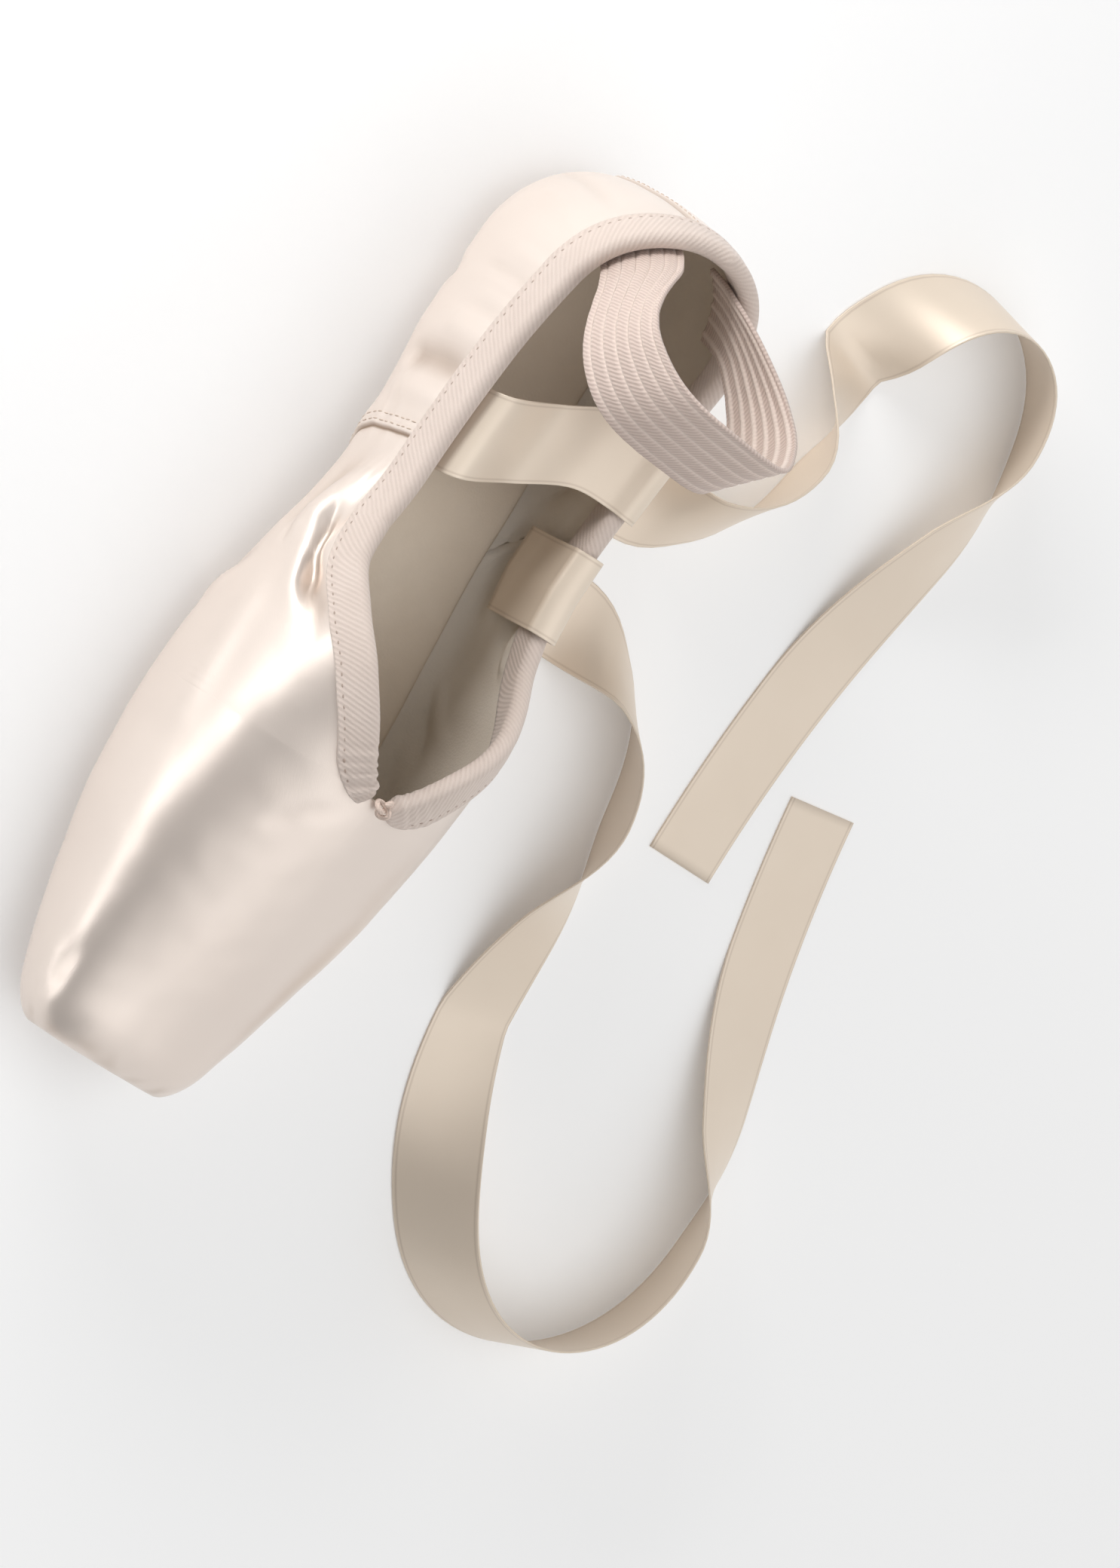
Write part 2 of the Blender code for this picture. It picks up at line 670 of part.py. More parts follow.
def binding_stations():
    """The s of the binding's sections, the upper's own, from beside the knot to the back of the heel."""
    near = np.linspace(THROAT, THROAT - THROAT_OPEN, 400) - HEEL_AXIS
    beside_knot = near[np.argmax([Collar.edge(s).y > 0.5 * THROAT_OPEN for s in near])]
    own = collar_stations()[::-1]
    return np.concatenate([[beside_knot], own[own < beside_knot - 0.0004]])


def make_binding(finish, carrier, collection):
    """The twill tape folded over the collar's edge, open at the throat where the drawstring is knotted."""
    profile = binding_profile()
    rings = []
    for s in binding_stations():
        collar = Collar(s)
        ring = [collar.at(rise, offset) for rise, offset in profile]
        if s == -HEEL_ARC:
            for point in ring:
                point.y = 0.0
        rings.append(ring)
    mesh = loft(rings, closed_rings=True, caps=(0,))
    bmesh.ops.recalc_face_normals(mesh, faces=mesh.faces)
    made = piece("binding", mesh, finish, carrier, collection)
    mirrored(made)
    round_shaded(made, 50)
    return made


def make_drawstring_knot(finish, carrier, collection):
    """The drawstring's overhand knot, pulled down between the two ends of the binding."""
    seat = Collar(THROAT - HEEL_AXIS - 1e-5)
    centre = Vector((seat.point.x, 0.0, seat.point.z + GAP + 0.5 * KNOT_RADIUS + 2 * DRAWSTRING_RADIUS))
    curve = bpy.data.curves.new("drawstring_knot", "CURVE")
    curve.dimensions = "3D"
    curve.bevel_depth = DRAWSTRING_RADIUS
    curve.bevel_resolution = 1
    curve.use_fill_caps = True
    turns = np.linspace(KNOT_END_TURN, 2 * math.pi - KNOT_END_TURN, 40)
    shape = np.stack([
        np.sin(turns) + 2 * np.sin(2 * turns),
        np.cos(turns) - 2 * np.cos(2 * turns),
        -1.5 * np.sin(3 * turns),
    ], axis=1) * KNOT_RADIUS / 3
    spline = curve.splines.new("POLY")
    spline.points.add(len(shape) - 1)
    for target, place in zip(spline.points, shape):
        target.co = (*(centre + Vector(place)), 1.0)
    curve.materials.append(finish)
    made = bpy.data.objects.new("drawstring_knot", curve)
    collection.objects.link(made)
    made.parent = carrier
    return made


# The elastic

def bezier(points, t):
    """A point on the cubic curve with those four control points."""
    a, b, c, d = points
    return a * (1 - t) ** 3 + b * (3 * t * (1 - t) ** 2) + c * (3 * t * t * (1 - t)) + d * t**3


def elastic_half(share):
    """One lengthwise line of the elastic on the +Y side, from its sewn end up to the middle of its arch."""
    offset = -(UPPER_WALL + BINDING_CLEARANCE + BINDING_THICKNESS + 2 * GAP + 0.5 * ELASTIC_THICKNESS)
    s = -HEEL_ARC + ELASTIC_FROM_BACK + 0.5 * ELASTIC_WIDTH * share
    collar = Collar(s)
    sewn = [collar.at(-ELASTIC_SEWN_DEPTH * depth, offset) for depth in (1.0, 0.66, 0.33)]
    start = collar.at(0.0, offset)
    slope = math.radians(ELASTIC_SLOPE_DEG)
    middle = Collar(-HEEL_ARC + ELASTIC_FROM_BACK).point
    across = Vector((-math.cos(slope), 0.0, math.sin(slope))) * (0.5 * ELASTIC_WIDTH * share)
    apex = Vector((middle.x + ELASTIC_REACH, 0.0, middle.z + ELASTIC_RISE)) - across
    arch = []
    for turn in np.linspace(0, 0.5 * math.pi, 13):
        climb = math.sin(turn) ** 0.85
        lean = fade(climb, 0.0, 1.0) * 0.5 + climb * 0.5
        point = start.lerp(apex, climb)
        point.x = start.x + (apex.x - start.x) * float(lean)
        spread = start.y + (0.5 * ELASTIC_SPAN - start.y) * float(fade(climb, 0.0, 0.7))
        point.y = spread * abs(math.cos(turn)) ** 0.62 if turn < 1.57 else 0.0
        arch.append(point)
    return sewn + arch


def make_elastic(finish, carrier, collection):
    """The ribbed elastic that crosses in front of the ankle, its ends sewn inside the heel."""
    shares = (-1.0, -0.5, 0.0, 0.5, 1.0)
    lines = [elastic_half(share) for share in shares]
    lines = [line + [Vector((p.x, -p.y, p.z)) for p in reversed(line[:-1])] for line in lines]
    mesh = loft(lines, closed_rings=False)
    made = piece("elastic", mesh, finish, carrier, collection)
    wall = made.modifiers.new("thickness", "SOLIDIFY")
    wall.thickness = ELASTIC_THICKNESS
    wall.offset = 0.0
    round_shaded(made)
    return made


# The ribbons

def spans_of(points, step):
    """Into how many steps each stretch between route points is divided."""
    return [max(1, round((b - a).length / step)) for a, b in zip(points, points[1:])]


def heading(before, at, after):
    """Where a smooth curve through three points is heading at the middle one."""
    first, second = ((at - before).length ** 0.5, (after - at).length ** 0.5)
    return (at - before) / first - (after - before) / (first + second) + (after - at) / second


def spline_through(points, counts):
    """Points on a smooth curve through the given ones, with a count for each stretch."""
    knots = [points[0] * 2 - points[1], *points, points[-1] * 2 - points[-2]]
    found = []
    for before, start, end, after, count in zip(knots, knots[1:], knots[2:], knots[3:], counts):
        third = (end - start).length ** 0.5 / 3
        leave = heading(before, start, end) * third
        arrive = heading(start, end, after) * third
        control = (start, start + leave, end - arrive, end)
        found += [bezier(control, k / count) for k in range(count)]
    return found + [points[-1].copy()]


def ribbon_inside(s, side):
    """One lengthwise line of a ribbon's sewn end, up the inside of the wall and past the binding."""
    collar = Collar(s, side)
    offset = -(UPPER_WALL + BINDING_CLEARANCE + BINDING_THICKNESS + 2 * GAP + RIBBON_THICKNESS)
    return [collar.at(-RIBBON_SEWN_DEPTH * depth, offset) for depth in (1.0, 0.5, 0.0)]


def ribbon_over(s, side, reach):
    """One line of a ribbon going over the binding and down the outside of the shoe to the floor."""
    collar = Collar(s, side)
    clear = GAP + RIBBON_THICKNESS
    top = GAP + BINDING_ROLL + clear
    face = BINDING_CLEARANCE + BINDING_THICKNESS + GAP + clear
    inside = -UPPER_WALL - BINDING_CLEARANCE - BINDING_THICKNESS - clear
    points = [
        collar.at(0.6 * top, inside - clear),
        collar.at(1.2 * top, 0.5 * (inside + face)),
        collar.at(0.6 * top, face + GAP),
        collar.at(-0.4 * BINDING_DEPTH, face),
        collar.at(-1.1 * BINDING_DEPTH, face),
    ]
    x = collar.point.x
    points.append(Vector((x, side * reach, WIDEST_HEIGHT)))
    points.append(Vector((x, side * reach, 1.3 * RIBBON_BEND)))
    points.append(Vector((x, side * (reach + 0.3 * RIBBON_BEND), 0.3 * RIBBON_BEND)))
    points.append(Vector((x, side * (reach + 1.3 * RIBBON_BEND), 0.5 * RIBBON_THICKNESS)))
    return points


def floor_route(start, rows, step):
    """The ribbon's middle and its left, at places along the floor, from start towards +Y."""
    ends = np.cumsum([0.0] + [row[0] for row in rows])
    headings = np.stack([ends, np.cumsum([90.0] + [row[1] for row in rows])], axis=1)
    leans = np.stack([ends, np.array([0.0] + [row[2] for row in rows])], axis=1)
    count = round(ends[-1] / step)
    length = ends[-1] / count
    x, y = start.x, start.y
    places = []
    for k in range(1, count + 1):
        before = math.radians(smooth(headings, 1, np.float64((k - 0.5) * length)))
        ahead = math.radians(smooth(headings, 1, np.float64(k * length)))
        lean = math.radians(smooth(leans, 1, np.float64(k * length)))
        x += length * math.cos(before)
        y += length * math.sin(before)
        flat = math.cos(lean)
        left = Vector((-math.sin(ahead) * flat, math.cos(ahead) * flat, math.sin(lean)))
        height = 0.5 * RIBBON_WIDTH * abs(math.sin(lean)) + 0.5 * RIBBON_THICKNESS
        places.append((Vector((x, y, height)), left))
    return places


def ribbon(name, route, floor_rows, finish, carrier, collection):
    """A satin strip: route gives its lines across the shoe, from its front edge to its rear one."""
    lines = [route(share) for share in (1.0, 0.0, -1.0)]
    counts = spans_of(lines[1], RIBBON_STEP)
    lines = [spline_through(line, counts) for line in lines]
    for place, left in floor_route(lines[1][-1], floor_rows, 2.2 * RIBBON_STEP):
        for line, share in zip(lines, (-1.0, 0.0, 1.0)):
            line.append(place + left * (0.5 * RIBBON_WIDTH * share))
    made = piece(name, loft(lines, closed_rings=False), finish, carrier, collection)
    wall = made.modifiers.new("thickness", "SOLIDIFY")
    wall.thickness = RIBBON_THICKNESS
    wall.offset = 0.0
    round_shaded(made)
    return made


def make_ribbons(finish, carrier, collection):
    """Both ribbons: one crosses the opening to the far side, the other goes over its own side."""
    near, far = -1, 1
    half = 0.5 * RIBBON_WIDTH
    sewn = RIBBON_SEWN - HEEL_AXIS
    rear = REAR_RIBBON_OVER - HEEL_AXIS
    front = FRONT_RIBBON_OVER - HEEL_AXIS

    def reach_at(x):
        """How far from the middle a ribbon hangs that goes over the collar at x."""
        return float(smooth(LAST, HALF_WIDTH, np.array((x - half, x + half))).max()) + RIBBON_STAND_OFF

    def crossing(share):
        inside = ribbon_inside(sewn + half * share, near)
        over = ribbon_over(rear + half * share, far, reach_at(REAR_RIBBON_OVER))
        leave = inside[-1] + Vector((-0.001, 0.004, 0.004))
        middle = (inside[-1] + over[0]) * 0.5 - Vector((0, 0, RIBBON_SAG))
        arrive = over[0] + Vector((0.001, -0.010, -0.002))
        return inside + [leave, middle, arrive] + over

    def own_side(share):
        inside = ribbon_inside(front + half * share, far)
        return inside + ribbon_over(front + half * share, far, reach_at(FRONT_RIBBON_OVER))

    rear_made = ribbon("ribbon_rear", crossing, REAR_RIBBON_FLOOR, finish, carrier, collection)
    front_made = ribbon("ribbon_front", own_side, FRONT_RIBBON_FLOOR, finish, carrier, collection)
    return rear_made, front_made


def main():
    for old in list(bpy.data.objects):
        bpy.data.objects.remove(old, do_unlink=True)
    collection = bpy.data.collections.new("pointe_shoe")
    helpers = bpy.data.collections.new("helpers")
    bpy.context.scene.collection.children.link(collection)
    bpy.context.scene.collection.children.link(helpers)
    carrier = bpy.data.objects.new("shoe_middle", None)
    collection.objects.link(carrier)
    carrier.location.x = -0.5 * SHOE_LENGTH

    satin = material("satin", (0.86, 0.75, 0.68), 0.32)
    leather = material("sole_leather", (0.48, 0.40, 0.32), 0.75)
    board = material("insole_board", (0.80, 0.72, 0.62), 0.85)
    twill = material("twill", (0.80, 0.70, 0.65), 0.85)
    cord = material("drawstring", (0.78, 0.69, 0.62), 0.8)
    webbing = material("elastic_webbing", (0.82, 0.74, 0.67), 0.75)
    ribbon_satin = material("ribbon_satin", (0.87, 0.78, 0.68), 0.4)

    make_upper(satin, carrier, collection)
    make_outsole(leather, carrier, collection)
    make_insole(board, carrier, collection, helpers)
    make_binding(twill, carrier, collection)
    make_drawstring_knot(cord, carrier, collection)
    make_elastic(webbing, carrier, collection)
    make_ribbons(ribbon_satin, carrier, collection)
    bpy.context.view_layer.update()


main()
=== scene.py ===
import math

import bmesh
import bpy
import numpy as np
from mathutils import Matrix, Vector, noise


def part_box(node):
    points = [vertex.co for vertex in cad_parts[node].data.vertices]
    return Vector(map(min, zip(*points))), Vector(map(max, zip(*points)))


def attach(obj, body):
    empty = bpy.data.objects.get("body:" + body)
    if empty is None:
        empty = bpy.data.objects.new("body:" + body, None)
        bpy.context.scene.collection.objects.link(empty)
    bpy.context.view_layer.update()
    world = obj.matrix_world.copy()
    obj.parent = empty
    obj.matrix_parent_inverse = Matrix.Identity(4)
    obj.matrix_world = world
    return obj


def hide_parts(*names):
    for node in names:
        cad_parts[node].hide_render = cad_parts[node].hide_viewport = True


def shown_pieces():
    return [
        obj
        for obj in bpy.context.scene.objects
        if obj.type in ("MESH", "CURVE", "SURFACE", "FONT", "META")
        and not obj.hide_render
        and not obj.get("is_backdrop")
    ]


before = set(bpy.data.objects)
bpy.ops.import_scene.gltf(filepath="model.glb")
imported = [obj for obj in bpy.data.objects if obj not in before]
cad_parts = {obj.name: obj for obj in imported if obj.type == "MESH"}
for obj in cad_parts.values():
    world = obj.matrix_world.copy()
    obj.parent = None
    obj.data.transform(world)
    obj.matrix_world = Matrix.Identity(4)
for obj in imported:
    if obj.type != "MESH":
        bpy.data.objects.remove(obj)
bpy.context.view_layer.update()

# The upper. Pale satin over a cotton lining, soft in the quarters and stiffened with paste into a
# hard box around the toes. It is pulled over a straight last with no left or right, and turned in
# under the foot, where the sole covers its edge.
upper_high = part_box("upper")[1]
SHOE_LENGTH = 2 * upper_high.x
BALL_WIDTH = 2 * upper_high.y
WAIST_WIDTH = 0.057
HEEL_WIDTH = 0.059
PLATFORM_WIDTH = 0.045
PLATFORM_HEIGHT = 0.024
PLATFORM_ROUND = 0.0045
PLATFORM_SOFTEN = 0.010
INSTEP_HEIGHT = 0.058
VAMP_LENGTH = 0.083
HEEL_HEIGHT = 0.056
SIDE_HEIGHT = 0.0375
TOE_SPRING = 0.0045
ARCH_LIFT = 0.0030
SOLE_THICKNESS = 0.0024
UPPER_WALL = 0.0018
BOX_WALL = 0.0028
BOX_RAMP = 0.020
BINDING_DEPTH = 0.0066
BACK_STRIP_WIDTH = 0.014
SEAM_STEP = 0.0008
SEAM_GROOVE = 0.00030
STITCH_ROWS = (0.0012, 0.0031)
GAP = 0.0003

HALF_LENGTH = 0.5 * SHOE_LENGTH
RIGHT_ANGLE = 0.5 * math.pi
HEEL_AXIS = 0.51 * HEEL_WIDTH
HEEL_ARC = RIGHT_ANGLE * HEEL_AXIS
THROAT = SHOE_LENGTH - VAMP_LENGTH
SIDE_LOW = 0.42 * SHOE_LENGTH
SIDE_SEAM = 0.335 * SHOE_LENGTH
PLATFORM_TOP = SOLE_THICKNESS + TOE_SPRING + PLATFORM_HEIGHT
THROAT_S = THROAT - HEEL_AXIS
SIDE_LOW_S = SIDE_LOW - HEEL_AXIS

# The last's sections from the heel to the toe, as in the part's source: along in shares of the
# shoe's length, half width, widest line and top in shares of the instep's height, lift off the
# floor, squareness of the lower half and of the upper half
LAST = np.array((
    (0.10, 0.500 * HEEL_WIDTH, 0.31, 1.36, 0.0, 3.6, 2.0),
    (0.21, 0.495 * HEEL_WIDTH, 0.31, 1.35, 0.0, 3.8, 2.0),
    (0.36, 0.500 * WAIST_WIDTH, 0.30, 1.30, ARCH_LIFT, 3.6, 2.0),
    (0.49, 0.430 * BALL_WIDTH, 0.29, 1.20, 0.4 * ARCH_LIFT, 3.8, 2.0),
    (0.57, 0.482 * BALL_WIDTH, 0.29, 1.10, 0.0, 4.2, 2.1),
    (0.65, 0.500 * BALL_WIDTH, 0.29, 1.00, 0.0, 4.4, 2.1),
    (0.76, 0.478 * BALL_WIDTH, 0.29, 0.85, 0.0, 4.2, 2.2),
    (0.86, 0.415 * BALL_WIDTH, 0.29, 0.71, 0.3 * TOE_SPRING, 3.8, 2.3),
    (0.94, 0.350 * BALL_WIDTH, 0.30, 0.60, 0.7 * TOE_SPRING, 3.4, 2.5),
    (1.00, 0.500 * PLATFORM_WIDTH, 0.32, PLATFORM_TOP / INSTEP_HEIGHT, TOE_SPRING, 3.2, 2.7),
)) * (SHOE_LENGTH, 1.0, INSTEP_HEIGHT, INSTEP_HEIGHT, 1.0, 1.0, 1.0)
HALF_WIDTH, WIDEST, TOP, LIFT, UNDER, OVER = range(1, 7)

# The collar behind its lowest place, and the throat in front of it, in shares of their extent
TOPLINE = np.array(((0.0, 0.0), (0.12, 0.01), (0.40, 0.17), (0.66, 0.52), (0.86, 0.88), (1.0, 1.0)))
THROAT_LINE = np.array(
    ((0.0, 0.0), (0.24, 0.13), (0.47, 0.29), (0.66, 0.52), (0.80, 0.77), (0.91, 0.945), (1.0, 1.0))
)


def smooth(rows, column, at):
    """A column of a table between its rows, without overshooting them."""
    x, y = rows[:, 0], rows[:, column]
    step = np.diff(x)
    slope = np.diff(y) / step
    tangent = np.zeros_like(y)
    before, after = slope[:-1], slope[1:]
    same_way = before * after > 0
    weight = (2 * step[1:] + step[:-1], step[1:] + 2 * step[:-1])
    tangent[1:-1][same_way] = (weight[0] + weight[1])[same_way] / (
        weight[0][same_way] / before[same_way] + weight[1][same_way] / after[same_way]
    )
    tangent[0], tangent[-1] = slope[0], slope[-1]
    at = np.clip(at, x[0], x[-1])
    i = np.clip(np.searchsorted(x, at) - 1, 0, len(step) - 1)
    t = (at - x[i]) / step[i]
    return (
        (1 + 2 * t) * (1 - t) ** 2 * y[i]
        + t * (1 - t) ** 2 * step[i] * tangent[i]
        + t * t * (3 - 2 * t) * y[i + 1]
        + t * t * (t - 1) * step[i] * tangent[i + 1]
    )


def fade(value, start, end):
    """0 at start and 1 at end, with a soft change between them."""
    t = np.clip((value - start) / (end - start), 0.0, 1.0)
    return t * t * (3 - 2 * t)


def bell(distance, width):
    """1 at no distance, falling to almost nothing within two widths."""
    return np.exp(-((distance / width) ** 2))


def run_lengths(path):
    """The length of a path of points up to each of them."""
    return np.concatenate([[0], np.cumsum(np.linalg.norm(np.diff(path, axis=0), axis=1))])


def section(s):
    """The last's section at s: the distance in front of the heel axis, or behind it round the heel."""
    turn = np.clip(1 + s / HEEL_ARC, 0.0, 1.0) * RIGHT_ANGLE
    x = np.where(s > 0, HEEL_AXIS + s, HEEL_AXIS)
    half_width = smooth(LAST, HALF_WIDTH, x)
    round_heel = np.hypot(HEEL_AXIS * np.cos(turn), half_width * np.sin(turn))
    middle = smooth(LAST, WIDEST, x)
    return {
        "x": x,
        "out": (-np.cos(turn), np.sin(turn)),
        "reach": np.where(s > 0, half_width, round_heel),
        "middle": middle,
        "below": middle - SOLE_THICKNESS - smooth(LAST, LIFT, x),
        "above": smooth(LAST, TOP, x) - middle,
        "under": smooth(LAST, UNDER, x),
        "over": smooth(LAST, OVER, x),
    }


def skin(s, angle, inset=0.0):
    """Points of the last's surface: angle 0 is the widest line, 90 degrees the middle of the instep."""
    part = section(s)
    exponent = 2 / np.where(angle < 0, part["under"], part["over"])
    height = np.where(angle < 0, part["below"], part["above"]) - inset
    r = (part["reach"] - inset) * np.abs(np.cos(angle)) ** exponent
    z = part["middle"] + height * np.sign(angle) * np.abs(np.sin(angle)) ** exponent
    return np.stack([part["x"] + r * part["out"][0] - HALF_LENGTH, r * part["out"][1], z], axis=-1)


def outward(s, angle):
    """The outward directions of the last's surface."""
    ds, da = 2e-4, 4e-3
    along = skin(s + ds, angle) - skin(s - ds, angle)
    high, low = np.minimum(angle + da, RIGHT_ANGLE), np.maximum(angle - da, -RIGHT_ANGLE)
    across = np.cross(skin(s, high) - skin(s, low), along)
    return across / np.linalg.norm(across, axis=-1, keepdims=True)


def height_angle(s, height):
    """The angle at which the upper half of a section reaches a height."""
    part = section(s)
    share = np.clip((height - part["middle"]) / part["above"], 0.0, 1.0)
    return np.arcsin(share ** (0.5 * part["over"]))


def collar_angle(s):
    """The angle at which the collar cuts the section at s; 90 degrees in front of the throat."""
    back = np.clip((SIDE_LOW_S - s) / (SIDE_LOW_S + HEEL_ARC), 0.0, 1.0)
    height = SIDE_HEIGHT + (HEEL_HEIGHT - SIDE_HEIGHT) * smooth(TOPLINE, 1, back)
    lowest = height_angle(np.float64(SIDE_LOW_S), SIDE_HEIGHT)
    share = np.sqrt(np.clip((THROAT_S - s) / (THROAT_S - SIDE_LOW_S), 0.0, 1.0))
    front = RIGHT_ANGLE - (RIGHT_ANGLE - lowest) * smooth(THROAT_LINE, 1, share)
    return np.where(s < SIDE_LOW_S, height_angle(s, height), front)


# The sole's outline decides where the upper's turned-in edge ends
SOLE_FOREPART_WIDTH = 0.058
SOLE_WAIST_WIDTH = 0.030
SOLE_HEEL_WIDTH = 0.035
SOLE_TOE_INSET = 0.028
SOLE_HEEL_INSET = 0.013
SOLE_TOE_ROUND = 0.050
LASTING_MARGIN = 0.010
SOLE_END = SHOE_LENGTH - SOLE_TOE_INSET
SOLE_LENGTH = SOLE_END - SOLE_HEEL_INSET
SOLE_OUTLINE = np.array((
    (0.0, 0.50 * SOLE_HEEL_WIDTH),
    (0.10, 0.50 * SOLE_HEEL_WIDTH),
    (0.34, 0.50 * SOLE_WAIST_WIDTH),
    (0.56, 0.37 * SOLE_FOREPART_WIDTH),
    (0.74, 0.50 * SOLE_FOREPART_WIDTH),
    (1.0, 0.50 * SOLE_FOREPART_WIDTH),
))


def round_end(before, cap):
    """The share of its width that an outline keeps at a distance before its rounded end."""
    return np.sqrt(1 - np.clip(1 - before / cap, 0.0, 1.0) ** 2)


def sole_half_width(x):
    """Half the outsole's width at x from the back of the heel."""
    share = np.clip((x - SOLE_HEEL_INSET) / SOLE_LENGTH, 0.0, 1.0)
    heel = round_end(x - SOLE_HEEL_INSET, 0.5 * SOLE_HEEL_WIDTH)
    return smooth(SOLE_OUTLINE, 1, share) * heel * round_end(SOLE_END - x, SOLE_TOE_ROUND)


def lasting_angle(s):
    """The angle at which the upper's turned-in edge cuts the section at s."""
    toe_end = SOLE_END - LASTING_MARGIN
    toe_cap = SOLE_TOE_ROUND - LASTING_MARGIN
    x = HEEL_AXIS + s
    edge = sole_half_width(np.minimum(x, toe_end - toe_cap)) - LASTING_MARGIN
    front = np.maximum(edge, 0.0) * round_end(toe_end - x, toe_cap)
    turn = np.clip(1 + s / HEEL_ARC, 0.0, 1.0) * RIGHT_ANGLE
    behind = HEEL_AXIS - SOLE_HEEL_INSET - LASTING_MARGIN
    beside = sole_half_width(np.float64(HEEL_AXIS)) - LASTING_MARGIN
    heel = np.hypot(behind * np.cos(turn), beside * np.sin(turn))
    part = section(s)
    share = np.clip(np.where(s > 0, front, heel) / part["reach"], 0.0, 1.0)
    return -np.arccos(share ** (0.5 * part["under"]))


def evenly(low, high, s, count, inset=0.0):
    """Angles that divide the section at s into stretches of equal length."""
    fine = np.linspace(low, high, 24 * count)
    length = run_lengths(skin(np.full(len(fine), s), fine, inset))
    return np.interp(np.linspace(0, length[-1], count + 1), length, fine)


STATION_STEP = 0.00120
ROWS = 88
OPENING_STATIONS = 56
OPENING_CROWDING = 1.7
PLATFORM_RINGS = 14
FACE_SHARES = (0.8, 0.6, 0.4, 0.2, 0.0)
SEAM_STEPS = np.array((-3.6, -3.1, -2.5, -1.8, -1.2, -0.7, -0.35, -0.15, 0.0, 0.2, 0.45, 0.9)) * 0.001
STRIP_STEPS = np.array((-1.0, -0.45, -0.15, 0.0, 0.2, 0.45, 1.0)) * 0.001
SEAM_S = SIDE_SEAM - HEEL_AXIS
SEAM_SWEEP = 0.011
SEAM_SWEEP_REACH = 0.036
SWEEP_FROM, SWEEP_OVER, SWEEP_CURVE = 16.0, 66.0, 1.5
STRIP_S = 0.5 * BACK_STRIP_WIDTH - HEEL_ARC


def upper_stations():
    """Every section of the upper, closer together at the throat and at the edges of seams."""
    end = SHOE_LENGTH - PLATFORM_SOFTEN - HEEL_AXIS
    heel = np.linspace(-HEEL_ARC, 0, round(HEEL_ARC / STATION_STEP))[:-1]
    quarter = np.linspace(0, SIDE_LOW_S, round(SIDE_LOW_S / STATION_STEP))[:-1]
    to_throat = (1 - np.linspace(0, 1, OPENING_STATIONS)[:-1]) ** OPENING_CROWDING
    opening = THROAT_S - (THROAT_S - SIDE_LOW_S) * to_throat
    vamp = np.linspace(THROAT_S, end, round((end - THROAT_S) / STATION_STEP))
    plain = np.concatenate([heel, quarter, opening, vamp])
    extra = np.concatenate([SEAM_S + SEAM_STEPS, STRIP_S + STRIP_STEPS])
    clear = np.abs(plain[:, None] - extra[None, :]).min(axis=1) > 0.5 * STATION_STEP
    clear[0] = True
    return np.sort(np.concatenate([plain[clear], extra]))


def swept(s, angle):
    """Where a section of the cloth runs: beside the side seam it sweeps forward under the foot."""
    near_seam = np.cos(np.clip((s - SEAM_S) / SEAM_SWEEP_REACH, -1.0, 1.0) * RIGHT_ANGLE) ** 2
    below = np.clip((SWEEP_FROM - np.degrees(angle)) / SWEEP_OVER, 0.0, 1.0)
    return s + SEAM_SWEEP * near_seam * below**SWEEP_CURVE


def upper_half():
    """Points, outward directions, s and angle of one half: body, platform edge, platform face."""
    columns = []
    for s in upper_stations():
        angles = evenly(lasting_angle(s), collar_angle(s), s, ROWS)
        stations = np.full(ROWS + 1, s)
        placed = swept(stations, angles)
        columns.append((skin(placed, angles), outward(placed, angles), stations, angles))
    for turn in np.linspace(0, RIGHT_ANGLE, PLATFORM_RINGS + 1)[1:]:
        inset = PLATFORM_ROUND * (1 - math.cos(turn))
        end = SHOE_LENGTH - PLATFORM_SOFTEN * (1 - math.sin(turn)) - HEEL_AXIS
        angles = evenly(-RIGHT_ANGLE, RIGHT_ANGLE, end, ROWS, inset)
        stations = np.full(ROWS + 1, end)
        away = outward(stations, angles) * math.cos(turn)
        away[:, 0] = math.sin(turn)
        columns.append((skin(stations, angles, inset), away, stations, angles))
    face = columns[-1][0]
    centre = np.array((HALF_LENGTH, 0.0, 0.5 * (face[0, 2] + face[-1, 2])))
    forward = np.tile((1.0, 0.0, 0.0), (ROWS + 1, 1))
    for share in FACE_SHARES:
        columns.append((centre + (face - centre) * share, forward, stations, angles))
    return [np.array(rows) for rows in zip(*columns)]


def grid_faces(count, rows, first=0, flip=False):
    """The quads of a grid of points, with count stations of rows points each."""
    i, j = np.meshgrid(np.arange(count - 1), np.arange(rows - 1), indexing="ij")
    a = first + (i * rows + j).ravel()
    quad = (a, a + 1, a + rows + 1, a + rows) if flip else (a, a + rows, a + rows + 1, a + 1)
    return np.stack(quad, axis=1)


def add_object(name, data):
    """An object at the origin that shows a mesh, a light or a camera."""
    made = bpy.data.objects.new(name, data)
    bpy.context.scene.collection.objects.link(made)
    return made


WELD = 2e-6


